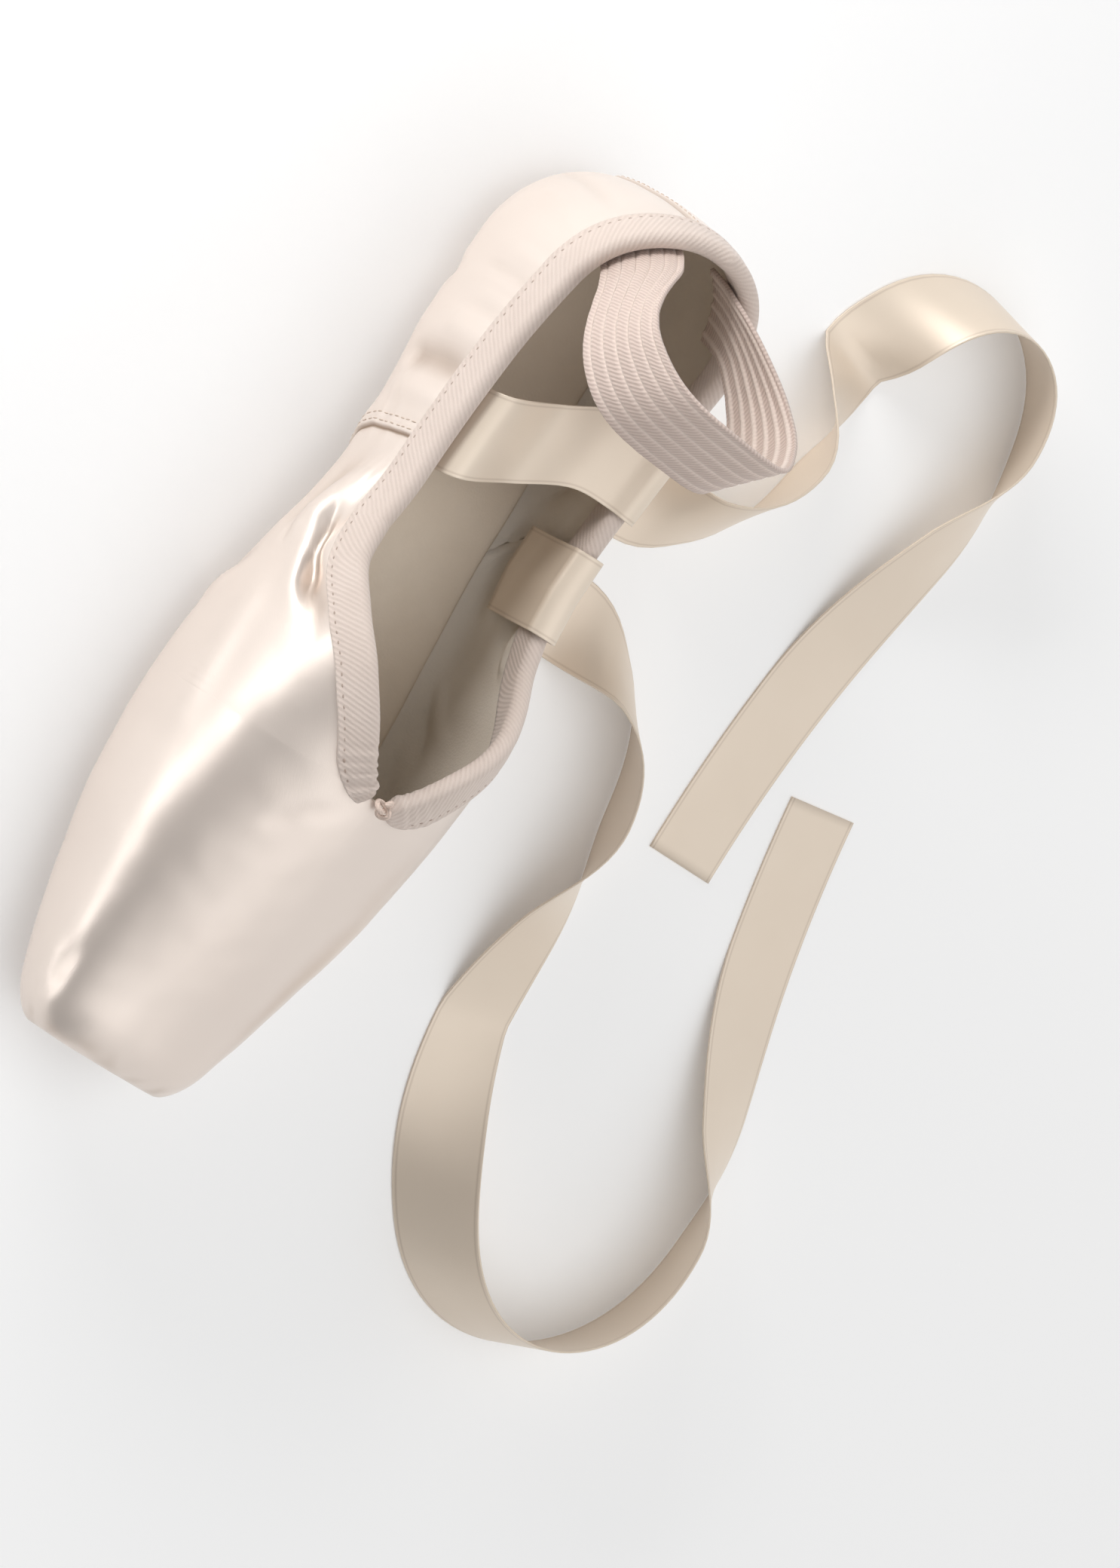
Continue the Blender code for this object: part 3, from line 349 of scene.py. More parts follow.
def make_piece(name, points, faces, finishes, uv=None, closed=False, **marks):
    """An object at the origin with its place in its mesh; closed ones get their ends filled."""
    data = bpy.data.meshes.new(name)
    data.from_pydata(np.asarray(points).tolist(), [], np.asarray(faces).tolist())
    for finish in finishes:
        data.materials.append(finish)
    for mark, values in marks.items():
        data.attributes.new(mark, "FLOAT", "POINT").data.foreach_set("value", values)
    if uv is not None:
        corners = np.empty(len(data.loops), dtype=np.int32)
        data.loops.foreach_get("vertex_index", corners)
        data.uv_layers.new(name="cloth").data.foreach_set("uv", uv[corners].ravel())
    mesh = bmesh.new()
    mesh.from_mesh(data)
    bmesh.ops.remove_doubles(mesh, verts=mesh.verts, dist=WELD)
    bmesh.ops.dissolve_degenerate(mesh, edges=mesh.edges, dist=WELD)
    if closed:
        bmesh.ops.holes_fill(mesh, edges=[edge for edge in mesh.edges if edge.is_boundary])
        bmesh.ops.recalc_face_normals(mesh, faces=mesh.faces)
    mesh.to_mesh(data)
    mesh.free()
    data.shade_smooth()
    return add_object(name, data)


def thicken(made, thickness, **settings):
    """Grows a sheet of cloth to its thickness."""
    wall = made.modifiers.new("thickness", "SOLIDIFY")
    wall.thickness = thickness
    for key, value in settings.items():
        setattr(wall, key, value)


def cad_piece(made, slot, *nodes):
    """The piece rides on the shoe and stands for its solids; slot is not used."""
    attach(made, "root")
    if nodes:
        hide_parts(*nodes)


# The creases of the worn satin, each a soft ridge (or a trough, where its height is negative)
# along a line of (share of the length from the heel, angle of the section in degrees):
# side (-1 is the near side in the photo), height, half width, line
CREASES = (
    # The near side's pinch between the seam and the throat: its broad ridge, the two points it
    # splits into, the valley between them, the hollow by the binding and the slack below
    (-1, 0.00320, 0.0048, ((0.345, 13), (0.385, 9), (0.420, 5), (0.452, 2.5), (0.496, 2))),
    (-1, 0.00170, 0.0020, ((0.395, 16), (0.435, 15.5), (0.478, 18))),
    (-1, -0.00340, 0.0021, ((0.414, 7.5), (0.446, 9), (0.480, 12.5), (0.510, 19), (0.534, 27))),
    (-1, -0.00260, 0.0034, ((0.466, 12), (0.494, 18), (0.522, 27), (0.556, 38))),
    (-1, -0.00150, 0.0026, ((0.352, 5), (0.392, 0), (0.428, -3), (0.458, -3), (0.484, -1))),
    (-1, -0.00080, 0.0011, ((0.450, -0.5), (0.470, 0), (0.490, 0.5))),
    (-1, 0.00090, 0.0040, ((0.500, 2), (0.560, 9), (0.640, 13), (0.720, 15))),
    # Its quarter: the hollow by the sole, the ridge in front of it, wrinkles over the heel
    (-1, -0.00280, 0.0042, ((0.262, 24), (0.257, 13), (0.257, 3), (0.262, -4), (0.272, -12))),
    (-1, 0.00140, 0.0032, ((0.300, 26), (0.294, 12), (0.298, 0), (0.306, -8))),
    (-1, 0.00120, 0.0034, ((0.230, 28), (0.223, 12), (0.218, -2))),
    (-1, -0.00050, 0.0010, ((0.270, 25), (0.266, 16), (0.263, 7))),
    (-1, -0.00050, 0.0010, ((0.251, 26), (0.255, 17), (0.257, 8))),
    (-1, 0.00060, 0.0018, ((0.150, 32), (0.134, 17), (0.126, 0))),
    (-1, -0.00065, 0.0017, ((0.174, 28), (0.156, 14), (0.149, -4))),
    (-1, 0.00055, 0.0016, ((0.198, 27), (0.186, 14), (0.180, 1))),
    (-1, -0.00120, 0.0028, ((0.182, -14), (0.168, -26), (0.162, -40))),
    (-1, -0.00080, 0.0024, ((0.072, 24), (0.060, 4), (0.055, -18))),
    (-1, 0.00070, 0.0022, ((0.100, 26), (0.086, 8), (0.080, -10))),
    # Drag lines from the ball down to the sole, and the toe's corner
    (-1, -0.00080, 0.0020, ((0.492, -6), (0.526, -20), (0.548, -38))),
    (-1, 0.00070, 0.0022, ((0.514, -4), (0.550, -19), (0.574, -38))),
    (-1, -0.00045, 0.0030, ((0.900, 28), (0.938, 24), (0.975, 21))),
    (-1, 0.00030, 0.0030, ((0.900, 12), (0.940, 9), (0.975, 6))),
    (-1, -0.00045, 0.0022, ((0.664, 84), (0.694, 72), (0.730, 63))),
    # The far side, a little less worn: its pinch, its quarter's folds and its drag lines
    (1, 0.00150, 0.0030, ((0.360, 15), (0.400, 10), (0.436, 8), (0.462, 10))),
    (1, -0.00150, 0.0018, ((0.420, 14), (0.448, 13), (0.476, 16))),
    (1, -0.00120, 0.0028, ((0.365, 4), (0.405, -1), (0.440, -4))),
    (1, 0.00170, 0.0034, ((0.186, 28), (0.230, 12), (0.274, -4), (0.302, -20))),
    (1, -0.00170, 0.0032, ((0.152, 18), (0.194, 3), (0.234, -12), (0.264, -26))),
    (1, 0.00100, 0.0026, ((0.124, 10), (0.152, -5), (0.186, -22))),
    (1, -0.00070, 0.0020, ((0.100, 28), (0.088, 12), (0.083, -8))),
    (1, -0.00100, 0.0022, ((0.566, 6), (0.522, -9), (0.494, -26))),
    (1, 0.00090, 0.0024, ((0.596, 2), (0.554, -13), (0.528, -32))),
    (1, -0.00060, 0.0022, ((0.628, -6), (0.590, -19), (0.570, -36))),
    (1, -0.00040, 0.0030, ((0.920, 26), (0.950, 22), (0.985, 18))),
)
# The pleats of the satin under the toe, each a fold laid over away from the seam: how far out it
# starts at the sole's end and ends by the platform, its height and half width
PLEATS = (
    (-0.0070, -0.0125, 0.0010, 0.0013),
    (-0.0112, -0.0205, 0.0012, 0.0015),
    (0.0072, 0.0092, 0.0010, 0.0012),
    (0.0122, 0.0165, 0.0011, 0.0014),
)
PLEAT_OVERLAP = 0.0009
# How far a crease reaches in half widths, the depth and spread of the dip along both its sides, and
# the shares of its line over which it rises at its start and runs out at its end
CREASE_REACH = 3.2
DIP_SHARE, DIP_SPREAD = 0.3, 5.0
RISES_BY, RUNS_OUT_FROM = 0.4, 0.65
LINE_POINTS = 36
UNDERSIDE_POINTS = 40
TOE_SEAM_START = (SOLE_END, 0.0003)
TOE_SEAM_END = (SHOE_LENGTH - 0.0006, -0.0008)
TOE_SEAM_BEND = -0.0034
TOE_SEAM_GROOVE, TOE_SEAM_GROOVE_WIDTH = 0.0005, 0.0010


def crease_line(side, line):
    """Points along a crease, on the last's surface."""
    rows = np.array(line, dtype=float)
    at = np.linspace(0, len(rows) - 1, LINE_POINTS)
    along = np.interp(at, np.arange(len(rows)), rows[:, 0]) * SHOE_LENGTH - HEEL_AXIS
    s = np.where(along < 0, along / HEEL_AXIS * HEEL_ARC, along)
    angle = np.radians(np.interp(at, np.arange(len(rows)), rows[:, 1]))
    return skin(s, angle) * (1, side, 1)


def underside_line(start, end, bow=0.0):
    """Points on the last's underside from one (x from the heel, y) to another, bending off by bow."""
    x, y = (np.linspace(start[k], end[k], UNDERSIDE_POINTS) for k in (0, 1))
    y = y + bow * np.linspace(0, 1, UNDERSIDE_POINTS) ** 4
    part = section(x - HEEL_AXIS)
    share = np.clip(np.abs(y) / part["reach"], 0.0, 1.0)
    ahead = np.clip(1 - (SHOE_LENGTH - x) / PLATFORM_SOFTEN, 0.0, 1.0)
    inset = PLATFORM_ROUND * (1 - np.sqrt(1 - ahead**2))
    found = skin(x - HEEL_AXIS, -np.arccos(share ** (0.5 * part["under"])), inset)
    found[:, 1] *= np.sign(y)
    return found


def toe_seam_line():
    """The seam where the satin's two ends meet under the toe, from the sole to the platform."""
    return underside_line(TOE_SEAM_START, TOE_SEAM_END, TOE_SEAM_BEND)


def raised_along(points, path, height, width, ends=(True, True)):
    """How far a ridge along a path raises each point; it runs out at the ends that are True."""
    lift = np.zeros(len(points))
    reach = CREASE_REACH * width
    inside = (points > path.min(axis=0) - reach) & (points < path.max(axis=0) + reach)
    near = np.flatnonzero(inside.all(axis=1))
    if not len(near):
        return lift
    distance = np.linalg.norm(points[near, None, :] - path[None, :, :], axis=2)
    nearest = distance.argmin(axis=1)
    d = distance[np.arange(len(near)), nearest] / width
    share = nearest / (len(path) - 1)
    strength = fade(share, 0.0, RISES_BY) if ends[0] else 1.0
    strength = strength * (1 - fade(share, RUNS_OUT_FROM, 1.0) if ends[1] else 1.0)
    lift[near] = height * strength * (np.exp(-d * d) - DIP_SHARE * np.exp(-d * d / DIP_SPREAD))
    return lift


def slack(points, wave, seed):
    """Slow, soft unevenness of the cloth, between -1 and 1."""
    start = Vector((seed, 0, 0))
    return np.array([noise.noise(Vector(point) / wave + start) for point in points.tolist()])


# Height, wave length and seed of the cloth's slack, slow and finer
SLACKS = ((0.00022, 0.017, 3.0), (0.00010, 0.007, 9.0))
# Across the side seam: where its edge steps down and where the quarter flattens out behind it,
# then the place and half width of its groove and of its gathers
EDGE_FROM, EDGE_TO = -0.0004, 0.0002
FLATTEN_FROM, FLATTEN_TO, FLATTENED = 0.003, 0.010, 0.7
GROOVE_AT, GROOVE_WIDTH = 0.0004, 0.0006
STITCH_CHANNEL, CHANNEL_WIDTH = 0.00016, 0.0004
GATHERS_AT, GATHERS_WIDTH, GATHER_PITCH = -0.001, 0.0045, 0.0056
STRIP_STEP, STRIP_EDGE_FROM = 0.0006, -0.0003
STRIP_GROOVE, STRIP_GROOVE_AT, STRIP_GROOVE_WIDTH = 0.0002, 0.0003, 0.0005
STRIP_FROM_HEIGHT, STRIP_FULL_HEIGHT = 0.006, 0.012


def side_seam(d, girth):
    """The quarter's folded edge lapped over the vamp, d in front of it: step, groove, stitch channels."""
    flattened = 1 - FLATTENED * fade(-d, FLATTEN_FROM, FLATTEN_TO)
    step = SEAM_STEP * (1 - fade(d, EDGE_FROM, EDGE_TO)) * flattened
    groove = -SEAM_GROOVE * bell(d - GROOVE_AT, GROOVE_WIDTH)
    channels = sum(-STITCH_CHANNEL * bell(d + row, CHANNEL_WIDTH) for row in STITCH_ROWS)
    gathers = STITCH_CHANNEL * np.cos(girth * 2 * math.pi / GATHER_PITCH)
    return step + groove + channels + gathers * bell(d - GATHERS_AT, GATHERS_WIDTH)


def back_strip(d):
    """The strip over the seam up the heel, d outside its edge."""
    step = STRIP_STEP * (1 - fade(d, STRIP_EDGE_FROM, EDGE_TO))
    return step - STRIP_GROOVE * bell(d - STRIP_GROOVE_AT, STRIP_GROOVE_WIDTH)


def relief(points, s, girth, girth_left):
    """How far the cloth is raised at each point of the upper in all, and how far by its creases."""
    creased = np.zeros(len(points))
    for side, height, width, line in CREASES:
        creased += raised_along(points, crease_line(side, line), height, width)
    for start, end, height, width in PLEATS:
        over = math.copysign(PLEAT_OVERLAP, start)
        for apart, rise in ((-over, height), (over, -height)):
            path = underside_line((SOLE_END, start + apart), (SHOE_LENGTH - PLATFORM_ROUND, end + apart))
            creased += raised_along(points, path, rise, width, ends=(False, True))
    total = creased + sum(height * slack(points, wave, seed) for height, wave, seed in SLACKS)
    groove = (-TOE_SEAM_GROOVE, TOE_SEAM_GROOVE_WIDTH, (False, False))
    total += raised_along(points, toe_seam_line(), *groove)
    total += side_seam(s - SEAM_S, girth)
    total += back_strip(s - STRIP_S) * fade(points[:, 2], STRIP_FROM_HEIGHT, STRIP_FULL_HEIGHT)
    under_sole = fade(girth, 0.2 * LASTING_MARGIN, 0.9 * LASTING_MARGIN)
    under_sole = np.where(s > SOLE_END - HEEL_AXIS, 1.0, under_sole)
    return total * fade(girth_left, 0.3 * BINDING_DEPTH, 1.15 * BINDING_DEPTH) * under_sole, creased


def lengths(points, axis):
    """Distances along a grid's rows or columns, from their first point."""
    steps = np.linalg.norm(np.diff(points, axis=axis), axis=2)
    start = np.zeros_like(steps.take([0], axis=axis))
    return np.concatenate([start, np.cumsum(steps, axis=axis)], axis=axis)


# How dark the painted shade in the folds gets, in full from FOLD_DEPTH down, how dark the painted
# shade along the back strip's edge is and how soiled the platform's rim
PAINTED_FOLD_SHADE = 0.50
FOLD_DEPTH = 0.0022
FOLD_CONTRAST = 1.3
PAINTED_STRIP_SHADE = 0.5
RIM_SOIL = 0.35

points, away, s, angles = upper_half()
girth = lengths(points, 1)
girth_left = girth[:, -1:] - girth
in_front = s[:, 0] > THROAT_S
girth_left[in_front] += BINDING_DEPTH * fade(s[in_front] - THROAT_S, 0.0, 2 * BINDING_DEPTH)
along_row = lengths(points, 0)
vertex_rows, face_rows, uv_rows, painted_shade_rows, soil_rows = [], [], [], [], []
cloth = {}
for side in (1, -1):
    mirror = np.array((1, side, 1))
    own = points.reshape(-1, 3) * mirror
    own_away = away.reshape(-1, 3) * mirror
    raised, creased = relief(own, s.ravel(), girth.ravel(), girth_left.ravel())
    moved = own + own_away * raised[:, None]
    moved[np.abs(own[:, 1]) < 1e-7, 1] = 0.0
    cloth[side] = moved.reshape(points.shape), own_away.reshape(points.shape)
    face_rows.append(grid_faces(len(points), ROWS + 1, sum(map(len, vertex_rows)), flip=side > 0))
    vertex_rows.append(moved)
    uv_rows.append(np.stack([along_row.ravel(), side * girth_left.ravel()], axis=1))
    # A painted shadow along the groove just in front of the side seam's folded edge
    painted_seam_shadow = bell(s.ravel() - SEAM_S - 0.0003, 0.00035)
    # Painted shade along the groove just outside the back strip's edge
    painted_shade_by_strip = PAINTED_STRIP_SHADE * bell(s.ravel() - STRIP_S - 0.0002, 0.0004)
    # Painted shade in the troughs of the creases and of the toe's pleats, darker the deeper they are
    painted_shade_in_folds = PAINTED_FOLD_SHADE * np.clip(-creased / FOLD_DEPTH, 0.0, 1.0) ** FOLD_CONTRAST
    painted_shade_rows.append(np.clip(painted_seam_shadow + painted_shade_by_strip + painted_shade_in_folds, 0.0, 1.0))
    rim = bell(own[:, 0] - HALF_LENGTH + 0.3 * PLATFORM_ROUND, 0.5 * PLATFORM_ROUND)
    soil_rows.append(np.clip(rim * (0.2 + 0.9 * slack(own, 0.004, 5.0)), 0.0, 1.0) * RIM_SOIL)


def add_node(tree, kind, inputs=None, **settings):
    """A shader node with its settings, and its inputs as values or as the sockets that feed them."""
    made = tree.nodes.new(kind)
    for key, value in settings.items():
        setattr(made, key, value)
    for key, value in (inputs or {}).items():
        if isinstance(value, bpy.types.NodeSocket):
            tree.links.new(value, made.inputs[key])
        else:
            made.inputs[key].default_value = value
    return made


def feed(tree, kind, inputs=None, **settings):
    """A node made the same way; gives its first output."""
    return add_node(tree, kind, inputs, **settings).outputs[0]


def new_finish(name, values):
    """A material whose Principled shader has these values; gives it, its tree and the shader."""
    made = bpy.data.materials.new(name)
    made.use_nodes = True
    shader = made.node_tree.nodes["Principled BSDF"]
    for key, value in values.items():
        shader.inputs[key].default_value = value
    return made, made.node_tree, shader


def object_place(tree):
    """Places in the object's own metres."""
    return add_node(tree, "ShaderNodeTexCoord").outputs["Object"]


def cloth_place(tree, **mapping):
    """Places in metres along and across the cloth, scaled or turned."""
    cloth = feed(tree, "ShaderNodeUVMap", uv_map="cloth")
    return feed(tree, "ShaderNodeMapping", {"Vector": cloth, **mapping}) if mapping else cloth


def noise_at(tree, place, scale, detail):
    """Fractal noise."""
    return feed(tree, "ShaderNodeTexNoise", {"Vector": place, "Scale": scale, "Detail": detail})


def marked(tree, name):
    """A value that the mesh carries at each of its points."""
    return add_node(tree, "ShaderNodeAttribute", attribute_name=name).outputs["Fac"]


def mixed(tree, amount, first, second):
    """The first colour with as much of the second as the amount says."""
    inputs = {0: amount, 6: first, 7: second}
    return add_node(tree, "ShaderNodeMix", inputs, data_type="RGBA").outputs[2]


def raise_finish(tree, shader, height, strength, distance):
    """Gives a shader the fine relief of a height."""
    bump = {"Height": height, "Strength": strength, "Distance": distance}
    tree.links.new(feed(tree, "ShaderNodeBump", bump), shader.inputs["Normal"])


def colour(*rgb):
    """An opaque colour."""
    return (*rgb, 1.0)


# The colour towards which the painted shade darkens the upper's satin in its folds and in the grooves by
# its seam and strip; the darker line along each ribbon's selvage is mixed towards it too
SEAM_SHADE = colour(0.30, 0.20, 0.13)
SOIL = colour(0.36, 0.25, 0.16)
THREADS = (420.0, 4200.0, 1.0)
GLOSS_BELOW, GLOSS_ABOVE = 0.03, 0.05
SATIN_SHEEN = {
    "Specular IOR Level": 0.75,
    "Anisotropic": 0.45,
    "Sheen Weight": 0.12,
    "Sheen Roughness": 0.4,
}


def satin_finish(name, light, dark, roughness, gleam):
    """Satin: fine warp threads along the cloth, a soft directional gloss and slow changes of colour."""
    made, tree, shader = new_finish(name, {"Metallic": gleam, **SATIN_SHEEN})
    slow = noise_at(tree, object_place(tree), scale=38.0, detail=3.0)
    tone = mixed(tree, slow, light, dark)
    # The "shade" mark darkens towards SEAM_SHADE: painted shade on the upper, the selvage lines on the
    # ribbons; the "soil" mark adds soil
    for mark, shade in (("shade", SEAM_SHADE), ("soil", SOIL)):
        tone = mixed(tree, marked(tree, mark), tone, shade)
    tree.links.new(tone, shader.inputs["Base Color"])
    gloss = {"Value": slow, "To Min": roughness - GLOSS_BELOW, "To Max": roughness + GLOSS_ABOVE}
    tree.links.new(feed(tree, "ShaderNodeMapRange", gloss), shader.inputs["Roughness"])
    threads = noise_at(tree, cloth_place(tree, Scale=THREADS), scale=1.0, detail=2.0)
    raise_finish(tree, shader, threads, strength=0.16, distance=0.0001)
    tangent = feed(tree, "ShaderNodeTangent", direction_type="UV_MAP", uv_map="cloth")
    tree.links.new(tangent, shader.inputs["Tangent"])
    return made


def cotton_finish(name, light, dark, pitch):
    """Plain-woven cotton: small knots of thread, matte."""
    made, tree, shader = new_finish(name, {"Roughness": 0.9})
    place = object_place(tree)
    tone = mixed(tree, noise_at(tree, place, scale=60.0, detail=4.0), light, dark)
    tree.links.new(tone, shader.inputs["Base Color"])
    weave = feed(tree, "ShaderNodeTexVoronoi", {"Vector": place, "Scale": 1 / pitch})
    raise_finish(tree, shader, weave, strength=0.3, distance=0.0002)
    return made


satin = satin_finish("satin", colour(0.84, 0.745, 0.675), colour(0.79, 0.69, 0.62), 0.34, 0.52)
lining = cotton_finish("cotton_lining", colour(0.78, 0.72, 0.64), colour(0.70, 0.63, 0.54), 0.0006)
upper = make_piece(
    "satin_upper",
    np.concatenate(vertex_rows),
    np.concatenate(face_rows),
    (satin, lining),
    uv=np.concatenate(uv_rows),
    shade=np.concatenate(painted_shade_rows),
    soil=np.concatenate(soil_rows),
)
box_group = upper.vertex_groups.new(name="box")
for vertex in upper.data.vertices:
    ahead = vertex.co.x + HALF_LENGTH - THROAT - BINDING_DEPTH
    box_group.add([vertex.index], float(fade(ahead, 0.0, BOX_RAMP)), "REPLACE")
thicken(
    upper,
    BOX_WALL,
    vertex_group="box",
    thickness_vertex_group=UPPER_WALL / BOX_WALL,
    offset=-1.0,
    material_offset=1,
    material_offset_rim=1,
)
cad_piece(upper, "satin", "upper")

# The stitching. Two rows of pale thread run behind the folded edge of each quarter, and one row along
# each edge of the back strip, all drawn tight into the satin. Under the toe a dark thread closes the
# seam where the satin's two ends meet, from the sole to the platform.
STITCH_SPACING = 0.0021
STITCH_LENGTH = 0.0015
STITCH_THICKNESS = 0.00038
STITCH_WANDER = 0.12
STITCH_SEED = 7
STITCH_PROUD = 0.12 * STITCH_THICKNESS
TOE_SEAM_RADIUS = 0.00028


def stitch_tree():
    """Small capsules of thread set along an edge path, one for each stitch."""
    tree = bpy.data.node_groups.new("stitches", "GeometryNodeTree")
    sockets = (
        ("Path", "INPUT", "Geometry"),
        ("Spacing", "INPUT", "Float"),
        ("Length", "INPUT", "Float"),
        ("Thickness", "INPUT", "Float"),
        ("Thread", "INPUT", "Material"),
        ("Stitches", "OUTPUT", "Geometry"),
    )
    for label, way, kind in sockets:
        tree.interface.new_socket(label, in_out=way, socket_type="NodeSocket" + kind)
    given = tree.nodes.new("NodeGroupInput").outputs
    curve = feed(tree, "GeometryNodeMeshToCurve", {"Mesh": given["Path"]})
    steps = {"Curve": curve, "Length": given["Spacing"]}
    even = feed(tree, "GeometryNodeResampleCurve", steps, mode="LENGTH")
    ball = feed(tree, "GeometryNodeMeshUVSphere", {"Segments": 8, "Rings": 6, "Radius": 0.5})
    sizes = {"X": given["Length"], "Y": given["Thickness"], "Z": given["Thickness"]}
    size = feed(tree, "ShaderNodeCombineXYZ", sizes)
    capsule = feed(tree, "GeometryNodeTransform", {"Geometry": ball, "Scale": size})
    tangent = feed(tree, "GeometryNodeInputTangent")
    turned = feed(tree, "FunctionNodeAlignRotationToVector", {"Vector": tangent}, axis="X")
    limits = {"Min": (-STITCH_WANDER,) * 3, "Max": (STITCH_WANDER,) * 3, "Seed": STITCH_SEED}
    wander = feed(tree, "FunctionNodeRandomValue", limits, data_type="FLOAT_VECTOR")
    tilt = feed(tree, "FunctionNodeEulerToRotation", {"Euler": wander})
    turns = {"Rotation": turned, "Rotate By": tilt}
    place = feed(tree, "FunctionNodeRotateRotation", turns, rotation_space="LOCAL")
    copies = {"Points": even, "Instance": capsule, "Rotation": place}
    many = feed(tree, "GeometryNodeInstanceOnPoints", copies)
    real = feed(tree, "GeometryNodeRealizeInstances", {"Geometry": many})
    soft = feed(tree, "GeometryNodeSetShadeSmooth", {"Geometry": real})
    done = feed(tree, "GeometryNodeSetMaterial", {"Geometry": soft, "Material": given["Thread"]})
    tree.links.new(done, tree.nodes.new("NodeGroupOutput").inputs[0])
    return tree


STITCHES = stitch_tree()


def stitch_rows(name, paths, sizes, thread, slot):
    """Rows of stitches (spacing, length, thickness) along paths of points, as one plain mesh."""
    points, edges = [], []
    for path in paths:
        edges += [(len(points) + k, len(points) + k + 1) for k in range(len(path) - 1)]
        points += [tuple(point) for point in path]
    data = bpy.data.meshes.new(name + "_path")
    data.from_pydata(points, edges, [])
    guide = add_object(name + "_path", data)
    sewing = guide.modifiers.new("sewing", "NODES")
    sewing.node_group = STITCHES
    sockets = {item.name: item.identifier for item in STITCHES.interface.items_tree}
    for label, value in zip(("Spacing", "Length", "Thickness", "Thread"), (*sizes, thread)):
        sewing[sockets[label]] = value
    bpy.context.view_layer.update()
    graph = bpy.context.evaluated_depsgraph_get()
    plain = bpy.data.meshes.new_from_object(guide.evaluated_get(graph))
    bpy.data.objects.remove(guide, do_unlink=True)
    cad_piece(add_object(name, plain), slot)


def thread_finish(name, tone):
    """Twisted cotton thread."""
    made, tree, shader = new_finish(name, {"Base Color": tone, "Roughness": 0.6})
    twist = noise_at(tree, object_place(tree), scale=2600.0, detail=1.0)
    raise_finish(tree, shader, twist, strength=0.4, distance=0.0001)
    return made


def seam_path(side, at, low, high):
    """A line on the finished cloth along the section at s, between two angles in degrees."""
    column = int(np.abs(s[:, 0] - at).argmin())
    surface, outside = cloth[side]
    degrees = np.degrees(angles[column])
    kept = (degrees > low) & (degrees < high) & (girth_left[column] > BINDING_DEPTH)
    return (surface[column] + outside[column] * STITCH_PROUD)[kept]


seam_thread = thread_finish("seam_thread", colour(0.56, 0.45, 0.37))
for name, rows, low in (
    ("side_seam_stitches", [SEAM_S - row for row in STITCH_ROWS], -52),
    ("back_strip_stitches", [STRIP_S - 0.001], -40),
):
    paths = [seam_path(side, at, low, 90) for at in rows for side in (1, -1)]
    stitch_rows(name, paths, (STITCH_SPACING, STITCH_LENGTH, STITCH_THICKNESS), seam_thread, "satin")


def ring_faces(count, size):
    """The quads between neighbouring rings of points."""
    i, j = np.meshgrid(np.arange(count - 1), np.arange(size), indexing="ij")
    k = (j + 1) % size
    quads = [i * size + j, i * size + k, (i + 1) * size + k, (i + 1) * size + j]
    return np.stack(quads, axis=-1).reshape(-1, 4)


def tube_rings(path, radius, sides):
    """Rings round a path, turned as little as possible from one to the next."""
    path = np.asarray(path, dtype=float)
    ahead = np.gradient(path, axis=0)
    ahead /= np.linalg.norm(ahead, axis=1, keepdims=True)
    beside = np.cross(ahead[0], (0.3, 0.5, 0.8))
    beside /= np.linalg.norm(beside)
    angle = np.linspace(0, 2 * math.pi, sides, endpoint=False)
    radius = np.broadcast_to(radius, len(path))
    rings = []
    for point, direction, r in zip(path, ahead, radius):
        beside = beside - direction * beside.dot(direction)
        beside /= np.linalg.norm(beside)
        other = np.cross(direction, beside)
        rings.append(point + r * (np.cos(angle)[:, None] * beside + np.sin(angle)[:, None] * other))
    return np.array(rings)


def tube_piece(name, path, radius, sides, finish):
    """A closed tube along a path, with rounded ends and cloth coordinates round it."""
    count = len(path)
    radius = np.broadcast_to(radius, count).copy()
    for ends, share in (([0, -1], 0.05), ([1, -2], 0.75)):
        radius[ends] *= share
    rings = tube_rings(path, radius, sides)
    u, v = np.meshgrid(run_lengths(path), np.linspace(0, 1, sides), indexing="ij")
    uv = np.stack([u.ravel(), v.ravel() * 2 * math.pi * radius.max()], axis=1)
    return make_piece(name, rings.reshape(-1, 3), ring_faces(count, sides), (finish,), uv=uv, closed=True)


toe_path = toe_seam_line()
clear_of_edges = np.full(len(toe_path), 1.0)
toe_s = toe_path[:, 0] + HALF_LENGTH - HEEL_AXIS
toe_raised, _ = relief(toe_path, toe_s, clear_of_edges, clear_of_edges)
toe_thread = thread_finish("toe_seam_thread", colour(0.30, 0.19, 0.13))
toe_path -= toe_raised[:, None] * (0, 0, 1)
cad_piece(tube_piece("toe_seam", toe_path, TOE_SEAM_RADIUS, 8, toe_thread), "satin")

# The outsole. One thin piece of scored leather, glued on and sewn from inside, narrower than the
# shoe. Diamond scores roughen the forepart for grip, and end in a peak towards the waist.
SOLE_STEP = 0.00042
SOLE_ACROSS = 121
SOLE_TOP_ACROSS = 13
SOLE_TRIM = 0.0002
END_STATIONS = 12
END_STATIONS_SHARE = 0.02
SCORE_SPACING = 0.0047
SCORE_DEPTH = 0.00035
SCORE_HALF_WIDTH = 0.00042
SCORE_BORDER = 0.0036
SCORE_TOE_BORDER = 1.3 * SCORE_BORDER
SCORE_END = 0.0004
SCORE_SHOULDER = 0.44 * SHOE_LENGTH
SCORE_PEAK = 0.345 * SHOE_LENGTH
SOLE_EDGE_ROUND = 0.0009


